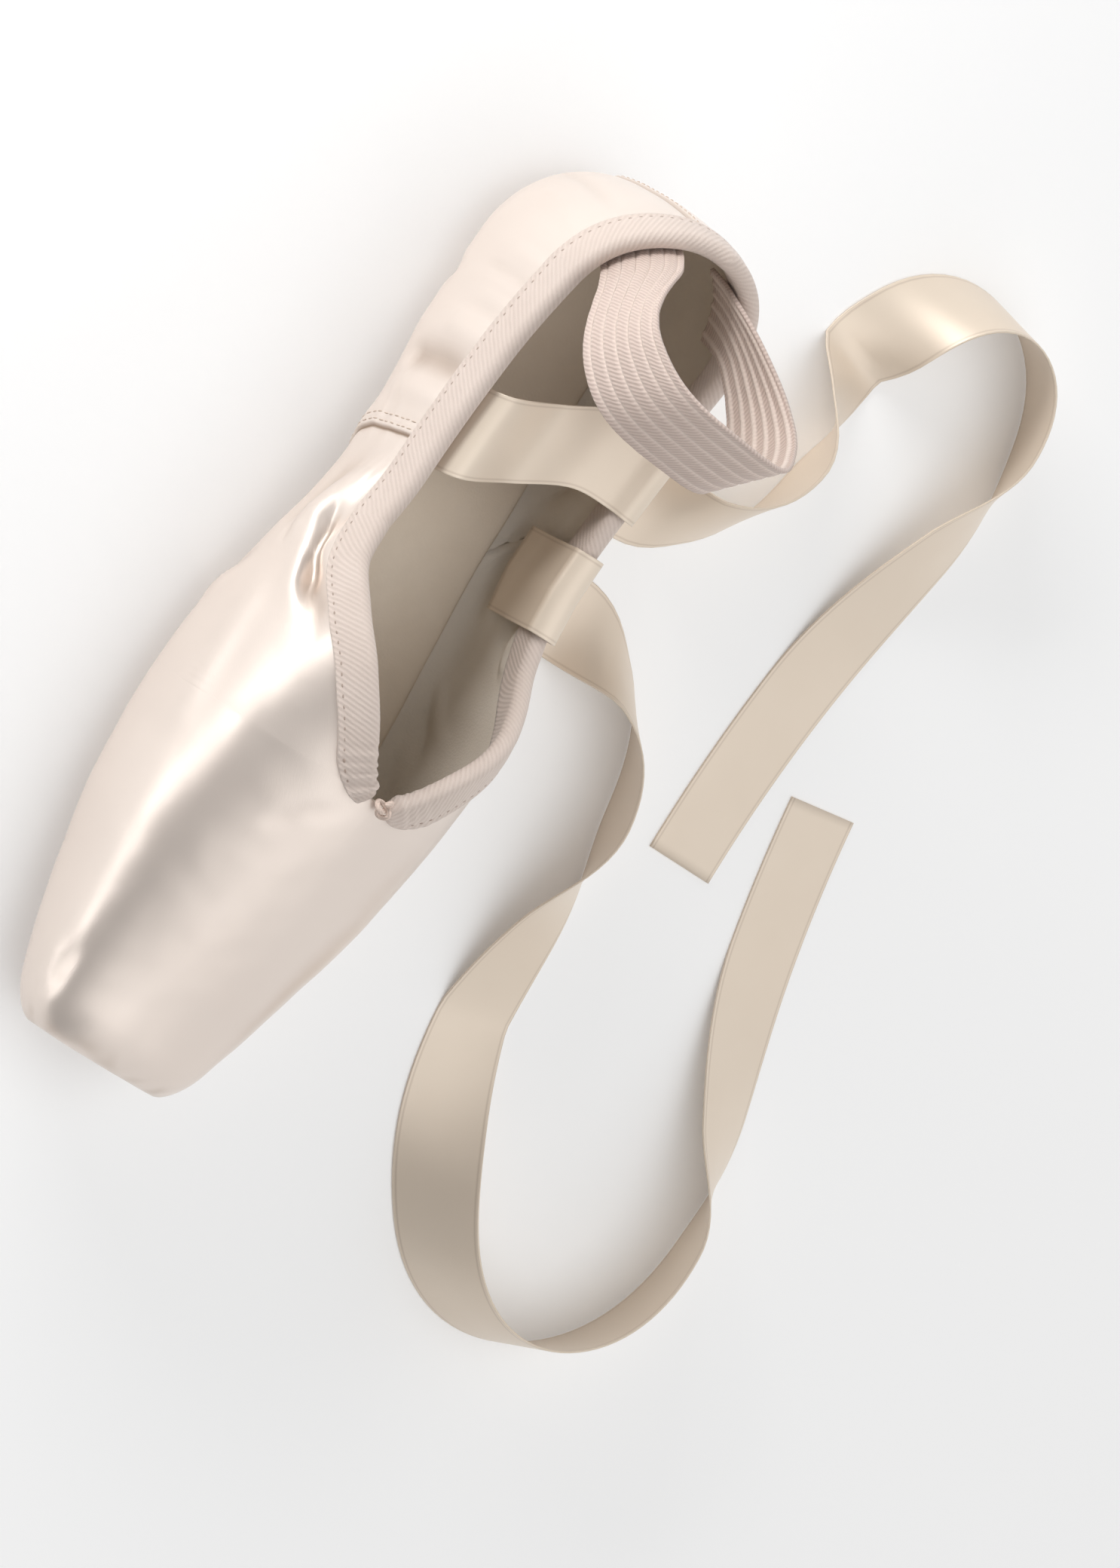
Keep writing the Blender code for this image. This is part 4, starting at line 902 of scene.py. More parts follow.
def underside(x, y):
    """The height of the upper's underside at x from the heel and y."""
    behind = x < HEEL_AXIS
    round_heel = HEEL_ARC * (np.arctan2(np.abs(y), HEEL_AXIS - x) / RIGHT_ANGLE - 1)
    s = np.where(behind, round_heel, x - HEEL_AXIS)
    r = np.where(behind, np.hypot(HEEL_AXIS - x, y), np.abs(y))
    part = section(s)
    share = np.minimum(r / part["reach"], 1.0)
    return part["middle"] - part["below"] * (1 - share ** part["under"]) ** (1 / part["under"])


def score_mark(x, y):
    """1 in the middle of a score line and 0 beside it."""
    room = sole_half_width(x) - SCORE_BORDER
    peak = np.clip((x - SCORE_PEAK) / (SCORE_SHOULDER - SCORE_PEAK), 0.0, 1.0)
    beside = np.minimum(room - np.abs(y), SOLE_END - SCORE_TOE_BORDER - x)
    inner = np.minimum(beside, np.where(x < SCORE_SHOULDER, room * peak - np.abs(y), 1.0))
    lines = np.zeros_like(x)
    for sign in (1, -1):
        across = (x + sign * y) / math.sqrt(2) / SCORE_SPACING
        off = np.abs(across - np.round(across)) * SCORE_SPACING
        lines = np.maximum(lines, bell(off, SCORE_HALF_WIDTH))
    at_peak = (x < SCORE_SHOULDER + 0.002) * (x > SCORE_PEAK)
    outline = bell(inner - 0.5 * SCORE_END, SCORE_HALF_WIDTH) * at_peak
    return np.maximum(lines * fade(inner, 0.0, SCORE_END), 0.9 * outline)


def slab_grid(x, half, top, bottom, counts):
    """Rings round a thin plate: its top, one side, its bottom and the other side."""
    over, under = (np.linspace(-1, 1, count) for count in counts)
    rings = []
    for a, h in zip(x, half):
        ring = []
        for surface, across in ((top, over * h), (bottom, under[::-1] * h)):
            along = np.full(len(across), a)
            ring.append(np.stack([along, across, surface(along, across)], axis=1))
        rings.append(np.concatenate(ring))
    return np.array(rings)


def leather_finish():
    """Suede-faced sole leather: fibrous, cloudy and matte, darker in its scores."""
    made, tree, shader = new_finish("sole_leather", {"Roughness": 0.82, "Sheen Weight": 0.2})
    place = object_place(tree)
    grain = noise_at(tree, place, scale=900.0, detail=6.0)
    cloud = noise_at(tree, place, scale=55.0, detail=5.0)
    tone = mixed(tree, cloud, colour(0.36, 0.28, 0.20), colour(0.25, 0.19, 0.13))
    fleck = feed(tree, "ShaderNodeMapRange", {"Value": grain, "From Min": 0.35, "From Max": 0.75})
    tone = mixed(tree, fleck, tone, colour(0.42, 0.34, 0.26))
    tone = mixed(tree, marked(tree, "score"), tone, colour(0.19, 0.14, 0.095))
    tree.links.new(tone, shader.inputs["Base Color"])
    raise_finish(tree, shader, grain, strength=0.5, distance=0.0003)
    return made


def sole_bottom(x, y):
    """The outsole's underside: flat, arched at the waist, rounded at its edge and scored."""
    lift = smooth(LAST, LIFT, np.maximum(x, HEEL_AXIS))
    edge = np.clip(1 - (sole_half_width(x) - np.abs(y)) / SOLE_EDGE_ROUND, 0.0, 1.0)
    turn_up = 0.8 * SOLE_EDGE_ROUND * (1 - np.sqrt(1 - 0.95 * edge**2))
    return lift + turn_up + SCORE_DEPTH * score_mark(x, y)


# Shares of the sole's length, close together in the round ends
round_share = END_STATIONS_SHARE * np.linspace(0, 1, END_STATIONS) ** 1.8
straight = round((1 - 2 * END_STATIONS_SHARE) * SOLE_LENGTH / SOLE_STEP)
sole_shares = np.concatenate([
    round_share[:-1],
    np.linspace(END_STATIONS_SHARE, 1 - END_STATIONS_SHARE, straight)[:-1],
    1 - round_share[::-1],
])
sole_x = SOLE_HEEL_INSET + SOLE_TRIM + (SOLE_LENGTH - 2 * SOLE_TRIM) * sole_shares
sole_tops = (lambda x, y: underside(x, y) - GAP, sole_bottom)
sole_rings = slab_grid(sole_x, sole_half_width(sole_x), *sole_tops, (SOLE_TOP_ACROSS, SOLE_ACROSS))
flat_points = sole_rings.reshape(-1, 3)
score = score_mark(flat_points[:, 0], flat_points[:, 1])
sole_floor = smooth(LAST, LIFT, np.maximum(flat_points[:, 0], HEEL_AXIS))
score[flat_points[:, 2] > sole_floor + 0.0008] = 0.0
outsole = make_piece(
    "leather_outsole",
    flat_points - (HALF_LENGTH, 0, 0),
    ring_faces(len(sole_rings), sole_rings.shape[1]),
    (leather_finish(),),
    closed=True,
    score=score,
)
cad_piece(outsole, "sole_leather", "outsole")

# The insole. A firm board with a cotton sock glued on it, which covers the edge of the upper turned
# in under the foot. Its core fills the opening down to the outsole, out of sight.
INSOLE_THICKNESS = 0.0020
INSOLE_TOE_INSET = 0.022
INSOLE_SHARE = 0.76
INSOLE_TOE_ROUND = 0.4 * BALL_WIDTH
INSOLE_START = HEEL_AXIS - INSOLE_SHARE * HEEL_AXIS
INSOLE_END = SHOE_LENGTH - INSOLE_TOE_INSET
# Where heel and ball have pressed the sock down: share of the length, spread along and across
WORN_SPOTS = ((0.15, 0.02, 0.014), (0.66, 0.022, 0.022))
WORN_DEPTH = 0.0005


def inner_floor(x, y):
    """The height at which the insole lies inside the upper."""
    ramp = fade(x, THROAT + BINDING_DEPTH, THROAT + BINDING_DEPTH + BOX_RAMP)
    return underside(x, y) + UPPER_WALL + (BOX_WALL - UPPER_WALL) * ramp + 2 * GAP


def insole_half_width(x):
    """Half the insole's width at x, with a round heel and a round toe."""
    side = INSOLE_SHARE * smooth(LAST, HALF_WIDTH, np.maximum(x, HEEL_AXIS))
    heel = round_end(x - INSOLE_START, INSOLE_SHARE * HEEL_AXIS)
    return side * heel * round_end(INSOLE_END - x, INSOLE_TOE_ROUND)


def insole_top(x, y):
    """The sock's surface: pressed down a little under heel and ball, rounded off at its edge."""
    edge = np.clip(1 - (insole_half_width(x) - np.abs(y)) / INSOLE_THICKNESS, 0.0, 1.0)
    worn = sum(bell(x - at * SHOE_LENGTH, along) * bell(y, across) for at, along, across in WORN_SPOTS)
    return inner_floor(x, y) + INSOLE_THICKNESS * np.sqrt(1 - 0.8 * edge**2) - WORN_DEPTH * worn


insole_shares = 0.5 - 0.5 * np.cos(np.linspace(0.02, math.pi - 0.02, 150))
insole_x = INSOLE_START + (INSOLE_END - INSOLE_START) * insole_shares
insole_rings = slab_grid(insole_x, insole_half_width(insole_x), insole_top, inner_floor, (41, 9))
sock = cotton_finish("cotton_sock", colour(0.76, 0.67, 0.56), colour(0.66, 0.56, 0.45), 0.0007)
insole = make_piece(
    "insole_sock",
    insole_rings.reshape(-1, 3) - (HALF_LENGTH, 0, 0),
    ring_faces(len(insole_rings), insole_rings.shape[1]),
    (sock,),
    closed=True,
)
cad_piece(insole, "insole_board", "insole")

# The binding. Matte cotton twill tape folded over the collar's edge with the drawstring inside it,
# sewn through near its lower edge, and gathered where the drawstring is pulled at the throat.
BINDING_THICKNESS = 0.0009
BINDING_ROLL = 0.0022
BINDING_CLEARANCE = 0.0005
BINDING_STEP = 0.0008
BINDING_STITCH_FROM_EDGE = 0.0013
BINDING_STITCH_SPACING = 0.0024
BINDING_END = 0.0030
THROAT_OPEN = 0.0052
GATHER_LENGTH = 0.026
END_NARROWING = 0.011
END_SHARE = 0.55
NEAR_GATHER, FAR_GATHER = 0.00048, 0.00020
GATHERS_PITCH = 0.0027
GATHER_FADE = 1.4
INNER_GATHER = -0.6
TAPE_EDGE = 0.0002
TAPE_SWELL = 0.00012
STITCH_DENT = 0.00018
BINDING_STITCH_THICKNESS = 0.00050
TWILL_PITCH = 0.0011
TWILL_SLANT = math.radians(38)
# The period of Blender's wave texture at scale 1
WAVE_PERIOD = 0.314


def locate(point):
    """The s and the angle of the skin point that lies nearest to a point beside it."""
    x, y, z = point.x + HALF_LENGTH, point.y, point.z
    if x >= HEEL_AXIS:
        s, r = x - HEEL_AXIS, y
    else:
        s = HEEL_ARC * (math.atan2(y, HEEL_AXIS - x) / RIGHT_ANGLE - 1)
        r = math.hypot(HEEL_AXIS - x, y)
    part = section(np.float64(s))
    rise = z - part["middle"]
    half, exponent = (part["above"], part["over"]) if rise > 0 else (part["below"], part["under"])
    up = (abs(rise) / half) ** (0.5 * exponent)
    out = (max(r, 0.0) / part["reach"]) ** (0.5 * exponent)
    return s, math.copysign(math.atan2(up, out), rise)


class Collar:
    """The collar's edge at s: its point, and the directions along, out of and up off the wall."""

    def __init__(self, s, side=1):
        step = 2e-4
        self.side = side
        self.point = self.edge(s)
        self.out = Vector(outward(np.float64(s), collar_angle(np.float64(s))))
        self.along = (self.edge(s + step) - self.edge(s - step)).normalized()
        self.up = self.along.cross(self.out).normalized()
        if self.up.dot(skin_rise(s)) < 0:
            self.up.negate()

    @staticmethod
    def edge(s):
        """The point at s on the +Y side, carried on past the back of the heel and the throat."""
        low, high = -HEEL_ARC, THROAT_S
        inside = min(max(2 * low - s if s < low else s, low), 2 * high - s if s > high else high)
        point = Vector(skin(np.float64(inside), collar_angle(np.float64(inside))))
        if s < low or s > high:
            point.y = -point.y
        return point

    def at(self, rise, offset):
        """A point rise above the edge, or down the wall where it is negative, and offset outwards."""
        point = self.point + self.up * rise
        if rise >= 0:
            point += self.out * offset
        else:
            point.y = max(point.y, 0.0)
            s, angle = locate(point)
            s, angle = np.float64(max(s, -HEEL_ARC)), np.float64(angle)
            point = Vector(skin(s, angle)) + Vector(outward(s, angle)) * offset
        return Vector((point.x, self.side * point.y, point.z))


def skin_rise(s):
    """The direction from the wall towards the collar's edge at s."""
    angle = collar_angle(np.float64(s))
    towards = Vector(skin(np.float64(s), angle)) - Vector(skin(np.float64(s), angle - 0.02))
    forward = max(0.0, 1 - (THROAT_S - s) / 0.004)
    return towards.normalized() * (1 - forward) - Vector((1.0, 0.0, 0.0)) * forward


def binding_stations():
    """The s of the binding's sections, from beside the knot to the back of the heel."""
    near = np.linspace(THROAT_S, THROAT_S - THROAT_OPEN, 400)
    start = near[np.argmax([Collar.edge(s).y > 0.5 * THROAT_OPEN for s in near])]
    fine = np.linspace(start, -HEEL_ARC, 1600)
    length = run_lengths(np.array([Collar.edge(s) for s in fine]))
    shares = np.linspace(0, 1, round(length[-1] / BINDING_STEP) + 1)
    first = len(shares) // 8
    shares[:first] = shares[first] * np.linspace(0, 1, first + 1)[:-1] ** 1.4
    return np.interp(shares * length[-1], length, fine), shares * length[-1]


def binding_profile():
    """The tape's section as (rise, offset) pairs, from its outer lower edge over the roll and back."""
    outer, inner = BINDING_CLEARANCE, -UPPER_WALL - BINDING_CLEARANCE
    outer_face, inner_face = outer + BINDING_THICKNESS, inner - BINDING_THICKNESS
    middle, half = 0.5 * (outer_face + inner_face), 0.5 * (outer_face - inner_face)
    down = [(-BINDING_DEPTH * k, outer_face) for k in (1.0, 0.94, 0.88, 0.8, 0.7, 0.6, 0.45, 0.3, 0.15)]
    turns = np.radians(np.linspace(0, 180, 13))
    roll = [(GAP + BINDING_ROLL * math.sin(a), middle + half * math.cos(a)) for a in turns]
    up = [(-BINDING_DEPTH * k, inner_face) for k in (0.15, 0.3, 0.5, 0.7, 0.85, 1.0)]
    tip_in = [(-BINDING_DEPTH - TAPE_EDGE, inner_face + 0.5 * BINDING_THICKNESS)]
    back = [(-BINDING_DEPTH * k, inner) for k in (1.0, 0.5, 0.0)]
    front = [(-BINDING_DEPTH * k, outer) for k in (0.0, 0.5, 1.0)]
    tip_out = [(-BINDING_DEPTH - TAPE_EDGE, outer_face - 0.5 * BINDING_THICKNESS)]
    return np.array(down + roll + up + tip_in + back + front + tip_out), len(down + roll + up)


def twill_finish():
    """Cotton twill tape: ridges at an angle to its length, furrows between them, matte."""
    made, tree, shader = new_finish("twill_tape", {"Roughness": 0.85, "Sheen Weight": 0.25})
    slanted = cloth_place(tree, Rotation=(0.0, 0.0, TWILL_SLANT))
    waves = {"Vector": slanted, "Scale": WAVE_PERIOD / TWILL_PITCH, "Distortion": 0.8, "Detail": 1.0}
    ribs = add_node(tree, "ShaderNodeTexWave", waves).outputs[1]
    cloth = cloth_place(tree)
    light, dark = colour(0.70, 0.60, 0.54), colour(0.62, 0.52, 0.46)
    tone = mixed(tree, noise_at(tree, cloth, scale=90.0, detail=3.0), light, dark)
    furrow = feed(tree, "ShaderNodeMapRange", {"Value": ribs, "To Min": 0.22, "To Max": 0.0})
    tone = mixed(tree, furrow, tone, colour(0.42, 0.33, 0.28))
    tree.links.new(tone, shader.inputs["Base Color"])
    fuzz = noise_at(tree, cloth, scale=3200.0, detail=2.0)
    height = feed(tree, "ShaderNodeMath", {0: ribs, 1: fuzz}, operation="ADD")
    raise_finish(tree, shader, height, strength=0.45, distance=0.00022)
    return made


profile, shown_count = binding_profile()
stations, from_throat = binding_stations()
rise_levels = np.linspace(-1.05, 0, 6) * BINDING_DEPTH
collars = [Collar(s) for s in stations]
wall_points, wall_away = (
    np.array([[collar.at(rise, offset) for rise in rise_levels] for collar in collars])
    for offset in (0.0, 0.001)
)
wall_away -= wall_points
wall_away /= np.linalg.norm(wall_away, axis=2, keepdims=True)
edge_points, edge_out, edge_up = (
    np.array([getattr(collar, kind) for collar in collars]) for kind in ("point", "out", "up")
)
narrowing = END_SHARE + (1 - END_SHARE) * fade(from_throat, -0.002, END_NARROWING)


def tape_point(rise, offset):
    """The tape's points at one place of its section, for every station."""
    if np.all(rise >= 0):
        return edge_points + edge_up * rise[:, None] + edge_out * offset[:, None]
    at = np.interp(rise, rise_levels, np.arange(len(rise_levels)))
    low = np.clip(at.astype(int), 0, len(rise_levels) - 2)
    share = (at - low)[:, None]
    k = np.arange(len(rise))
    base = wall_points[k, low] * (1 - share) + wall_points[k, low + 1] * share
    away = wall_away[k, low] * (1 - share) + wall_away[k, low + 1] * share
    return base + away * offset[:, None]


def tape_grid(side):
    """The tape's rings on one side, gathered towards the throat."""
    gather = (1 - fade(from_throat, 0.0, GATHER_LENGTH)) ** GATHER_FADE
    phase = from_throat / GATHERS_PITCH * 2 * math.pi
    strength = (NEAR_GATHER if side < 0 else FAR_GATHER) * gather
    middle = -0.5 * UPPER_WALL
    rows = []
    for k, (rise, offset) in enumerate(profile):
        lean = rise / BINDING_DEPTH
        wave = strength * np.sin(phase + 1.1 * lean + 0.8 * np.sin(phase * 0.37 + side))
        outside = offset > middle
        swell = wave * (1.0 if outside else INNER_GATHER)
        if outside and k < shown_count:
            swell = swell + TAPE_SWELL * bell(rise + 0.5 * BINDING_DEPTH, 0.002)
            swell = swell - STITCH_DENT * bell(rise + BINDING_DEPTH - BINDING_STITCH_FROM_EDGE, 0.0006)
        rises = rise + 0.5 * wave if rise > 0 else rise * narrowing
        rows.append(tape_point(rises + np.zeros(len(stations)), offset + swell))
    rings = np.stack(rows, axis=1)
    centre = tape_point(np.full(len(stations), -0.2 * BINDING_DEPTH), np.full(len(stations), middle))
    share = np.sqrt(np.clip(1 - (1 - from_throat / BINDING_END) ** 2, 0.0, 1.0))
    share = np.where(from_throat > BINDING_END, 1.0, np.maximum(share, 0.02))
    rings = centre[:, None, :] + (rings - centre[:, None, :]) * share[:, None, None]
    rings[-1, :, 1] = 0.0
    return rings * (1, side, 1)


tape_u, tape_v = np.meshgrid(from_throat, run_lengths(profile), indexing="ij")
tape_rows, tape_faces, tape_uv = [], [], []
for side in (1, -1):
    rings = tape_grid(side)
    faces = ring_faces(len(rings), rings.shape[1]) + sum(map(len, tape_rows))
    tape_faces.append(faces[:, ::-1] if side > 0 else faces)
    tape_rows.append(rings.reshape(-1, 3))
    tape_uv.append(np.stack([tape_u.ravel(), side * tape_v.ravel()], axis=1))
binding = make_piece(
    "twill_binding",
    np.concatenate(tape_rows),
    np.concatenate(tape_faces),
    (twill_finish(),),
    uv=np.concatenate(tape_uv),
    closed=True,
)
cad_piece(binding, "twill", "binding")
sewn_rise = (BINDING_STITCH_FROM_EDGE - BINDING_DEPTH) * narrowing
sewn_offset = BINDING_CLEARANCE + BINDING_THICKNESS - 0.00022
sewn_line = tape_point(sewn_rise, np.full(len(stations), sewn_offset))[from_throat > 2 * BINDING_END]
stitch_rows(
    "binding_stitches",
    [sewn_line, sewn_line * (1, -1, 1)],
    (BINDING_STITCH_SPACING, 0.42 * BINDING_STITCH_SPACING, BINDING_STITCH_THICKNESS),
    thread_finish("twill_thread", colour(0.40, 0.31, 0.26)),
    "twill",
)

# The drawstring. Thin cotton cord that runs through the binding, knotted in front of the throat so
# that its ends stay where the wearer tucked them.
DRAWSTRING_RADIUS = 0.0005
KNOT_RADIUS = 0.0021
KNOT_END_TURN = 0.2
CORD_SLANT = math.radians(55)
CORD_TWIST = 560.0


def cord_finish(name, tone):
    """Twisted cotton cord."""
    made, tree, shader = new_finish(name, {"Base Color": tone, "Roughness": 0.8})
    slanted = cloth_place(tree, Rotation=(0.0, 0.0, CORD_SLANT))
    waves = {"Vector": slanted, "Scale": CORD_TWIST, "Distortion": 0.5}
    twist = add_node(tree, "ShaderNodeTexWave", waves).outputs[1]
    raise_finish(tree, shader, twist, strength=0.6, distance=0.0002)
    return made


knot_seat = Collar(THROAT_S - 1e-5).point
knot_centre = np.array((knot_seat.x, 0.0, knot_seat.z + GAP + 0.5 * KNOT_RADIUS + 2 * DRAWSTRING_RADIUS))
turns = np.linspace(KNOT_END_TURN, 2 * math.pi - KNOT_END_TURN, 150)
knot_path = knot_centre + np.stack([
    np.sin(turns) + 2 * np.sin(2 * turns),
    np.cos(turns) - 2 * np.cos(2 * turns),
    -1.5 * np.sin(3 * turns),
], axis=1) * KNOT_RADIUS / 3
drawstring_finish = cord_finish("drawstring_cord", colour(0.72, 0.58, 0.50))
knot = tube_piece("drawstring_knot_cord", knot_path, 1.25 * DRAWSTRING_RADIUS, 12, drawstring_finish)
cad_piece(knot, "drawstring", "drawstring_knot")

# The elastic. One length of ribbed, knitted webbing that crosses in front of the ankle, with both
# ends sewn flat inside the heel. It keeps the arch that the ankle gives it.
ELASTIC_WIDTH = 0.026
ELASTIC_THICKNESS = 0.0012
ELASTIC_SEWN_DEPTH = 0.012
ELASTIC_FROM_BACK = 0.027
ELASTIC_RISE = 0.036
ELASTIC_REACH = 0.036
ELASTIC_SPAN = 0.056
ELASTIC_SLOPE = math.radians(62)
ELASTIC_RIBS = 6
ELASTIC_ACROSS = 97
ARCH_POINTS = 13
ARCH_CLIMB, ARCH_ROUND, ARCH_WIDEST_AT = 0.85, 0.62, 0.7
RIB_RISE = 0.00042
RIB_WIDTH = 0.14
KNIT_PITCH = 0.0011
KNIT_RISE = 0.00005


def bezier(points, t):
    """A point on the cubic curve with those four control points."""
    a, b, c, d = points
    return a * (1 - t) ** 3 + b * (3 * t * (1 - t) ** 2) + c * (3 * t * t * (1 - t)) + d * t**3


def heading(before, at, after):
    """Where a smooth curve through three points is heading at the middle one."""
    first, second = ((at - before).length ** 0.5, (after - at).length ** 0.5)
    return (at - before) / first - (after - before) / (first + second) + (after - at) / second


def spline_through(points, counts):
    """Points on a smooth curve through the given ones, with a count for each stretch."""
    knots = [points[0] * 2 - points[1], *points, points[-1] * 2 - points[-2]]
    found = []
    for before, start, end, after, count in zip(knots, knots[1:], knots[2:], knots[3:], counts):
        third = (end - start).length ** 0.5 / 3
        leave = heading(before, start, end) * third
        arrive = heading(start, end, after) * third
        control = (start, start + leave, end - arrive, end)
        found += [bezier(control, k / count) for k in range(count)]
    return found + [points[-1].copy()]


def elastic_half(share):
    """One lengthwise line of the elastic on the +Y side, from its sewn end to the middle of its arch."""
    offset = -(UPPER_WALL + BINDING_CLEARANCE + BINDING_THICKNESS + 2 * GAP + 0.5 * ELASTIC_THICKNESS)
    beside = 0.5 * ELASTIC_WIDTH * share
    collar = Collar(-HEEL_ARC + ELASTIC_FROM_BACK + beside)
    sewn = [collar.at(-ELASTIC_SEWN_DEPTH * depth, offset) for depth in (1.0, 0.66, 0.33)]
    start = collar.at(0.0, offset)
    middle = Collar(-HEEL_ARC + ELASTIC_FROM_BACK).point
    across = Vector((-math.cos(ELASTIC_SLOPE), 0.0, math.sin(ELASTIC_SLOPE))) * beside
    apex = Vector((middle.x + ELASTIC_REACH, 0.0, middle.z + ELASTIC_RISE)) - across
    arch = []
    for turn in np.linspace(0, RIGHT_ANGLE, ARCH_POINTS):
        climb = math.sin(turn) ** ARCH_CLIMB
        lean = fade(climb, 0.0, 1.0) * 0.5 + climb * 0.5
        point = start.lerp(apex, climb)
        point.x = start.x + (apex.x - start.x) * float(lean)
        spread = start.y + (0.5 * ELASTIC_SPAN - start.y) * float(fade(climb, 0.0, ARCH_WIDEST_AT))
        point.y = spread * abs(math.cos(turn)) ** ARCH_ROUND if turn < RIGHT_ANGLE else 0.0
        arch.append(point)
    return sewn + arch


def grid_normals(grid):
    """The normals of a grid of points."""
    across = np.cross(np.gradient(grid, axis=0), np.gradient(grid, axis=1))
    return across / np.linalg.norm(across, axis=2, keepdims=True)


def elastic_finish():
    """Knitted webbing: fine crossing ribs between its raised cords, matte."""
    made, tree, shader = new_finish("elastic_webbing", {"Roughness": 0.75, "Sheen Weight": 0.2})
    cloth = cloth_place(tree)
    waves = {"Vector": cloth, "Scale": WAVE_PERIOD / KNIT_PITCH, "Distortion": 1.5, "Detail": 1.0}
    knit = add_node(tree, "ShaderNodeTexWave", waves).outputs[1]
    tone = mixed(tree, knit, colour(0.50, 0.39, 0.34), colour(0.64, 0.52, 0.46))
    tone = mixed(tree, marked(tree, "rib"), tone, colour(0.76, 0.65, 0.58))
    tree.links.new(tone, shader.inputs["Base Color"])
    fuzz = noise_at(tree, cloth, scale=2200.0, detail=2.0)
    height = feed(tree, "ShaderNodeMath", {0: knit, 1: fuzz}, operation="ADD")
    raise_finish(tree, shader, height, strength=0.4, distance=0.0002)
    return made


elastic_lines = []
for share in (-1.0, -0.5, 0.0, 0.5, 1.0):
    half = elastic_half(share)
    whole = half + [Vector((point.x, -point.y, point.z)) for point in reversed(half[:-1])]
    elastic_lines.append(spline_through(whole, [4] * (len(whole) - 1)))
coarse = np.array(elastic_lines)
shares = np.linspace(0, len(coarse) - 1, ELASTIC_ACROSS)
low = np.clip(shares.astype(int), 0, len(coarse) - 2)
part = (shares - low)[:, None, None]
elastic_grid = coarse[low] * (1 - part) + coarse[low + 1] * part
across_share = np.linspace(-1, 1, ELASTIC_ACROSS)
rib_phase = (across_share * 0.5 + 0.5) * ELASTIC_RIBS
rib_mark = bell(rib_phase % 1 - 0.5, RIB_WIDTH)
elastic_length = lengths(elastic_grid, 1)
lift = RIB_RISE * rib_mark[:, None] - 0.0001
lift = lift + KNIT_RISE * np.sin(elastic_length / KNIT_PITCH * math.pi)
elastic_grid = elastic_grid + grid_normals(elastic_grid) * lift[:, :, None]
elastic_across = np.broadcast_to(across_share[:, None] * 0.5 * ELASTIC_WIDTH, elastic_length.shape)
uv = np.stack([elastic_length, elastic_across], axis=2)
elastic = make_piece(
    "ankle_elastic",
    elastic_grid.reshape(-1, 3),
    grid_faces(ELASTIC_ACROSS, elastic_grid.shape[1]),
    (elastic_finish(),),
    uv=uv.reshape(-1, 2),
    rib=np.repeat(rib_mark, elastic_grid.shape[1]),
)
thicken(elastic, ELASTIC_THICKNESS - 0.0002, offset=0.0)
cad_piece(elastic, "elastic_webbing", "elastic")

# The two ribbons. Each is a strip of soft satin with a firm selvage along both edges, cut to half a
# pair's length and sewn inside the side of the shoe. They are untied and lie on the floor.
RIBBON_WIDTH = 0.022
RIBBON_HALF = 0.5 * RIBBON_WIDTH
RIBBON_THICKNESS = 0.0005
RIBBON_SEWN_DEPTH = 0.022
RIBBON_SAG = 0.005
RIBBON_BEND = 0.006
RIBBON_STAND_OFF = 0.0022
RIBBON_STEP = 0.0015
RIBBON_SEWN = 0.305 * SHOE_LENGTH
REAR_RIBBON_OVER = 0.235 * SHOE_LENGTH
FRONT_RIBBON_OVER = 0.375 * SHOE_LENGTH
# How the rear ribbon heads off the near binding, and comes to the far one
REAR_LEAVES = Vector((-0.001, 0.004, 0.004))
REAR_ARRIVES = Vector((0.001, -0.010, -0.002))

# Where each ribbon lies on the floor: length of each stretch, how far it turns left in that
# stretch in degrees, and how far its left edge leans up from flat at the stretch's end
REAR_RIBBON_FLOOR = (
    (0.012, 0, 0),
    (0.022, 30, 50),
    (0.030, 50, 72),
    (0.022, 14, 30),
    (0.022, -26, -40),
    (0.038, -78, -74),
    (0.034, -68, -66),
    (0.034, -26, -26),
    (0.050, 8, 0),
    (0.050, 8, 0),
)
FRONT_RIBBON_FLOOR = (
    (0.014, 0, 0),
    (0.026, -30, -52),
    (0.034, -48, -70),
    (0.034, -12, -24),
    (0.040, 14, 14),
    (0.036, 26, 52),
    (0.054, 74, 74),
    (0.050, 66, 66),
    (0.034, 24, 24),
    (0.046, -8, 0),
    (0.036, -6, 0),
)


def ribbon_inside(s, side):
    """One lengthwise line of a ribbon's sewn end, up the inside of the wall and past the binding."""
    collar = Collar(s, side)
    offset = -(UPPER_WALL + BINDING_CLEARANCE + BINDING_THICKNESS + 2 * GAP + RIBBON_THICKNESS)
    return [collar.at(-RIBBON_SEWN_DEPTH * depth, offset) for depth in (1.0, 0.5, 0.0)]


def ribbon_over(s, side, reach):
    """One line of a ribbon going over the binding and down the outside of the shoe to the floor."""
    collar = Collar(s, side)
    clear = GAP + RIBBON_THICKNESS
    top = GAP + BINDING_ROLL + clear
    face = BINDING_CLEARANCE + BINDING_THICKNESS + GAP + clear
    inside = -UPPER_WALL - BINDING_CLEARANCE - BINDING_THICKNESS - clear
    points = [
        collar.at(0.6 * top, inside - clear),
        collar.at(1.2 * top, 0.5 * (inside + face)),
        collar.at(0.6 * top, face + GAP),
        collar.at(-0.4 * BINDING_DEPTH, face),
        collar.at(-1.1 * BINDING_DEPTH, face),
    ]
    x = collar.point.x
    widest = 0.30 * INSTEP_HEIGHT
    for out, height in ((0.0, widest), (0.0, 1.3 * RIBBON_BEND), (0.3 * RIBBON_BEND, 0.3 * RIBBON_BEND)):
        points.append(Vector((x, side * (reach + out), height)))
    points.append(Vector((x, side * (reach + 1.3 * RIBBON_BEND), 0.5 * RIBBON_THICKNESS)))
    return points


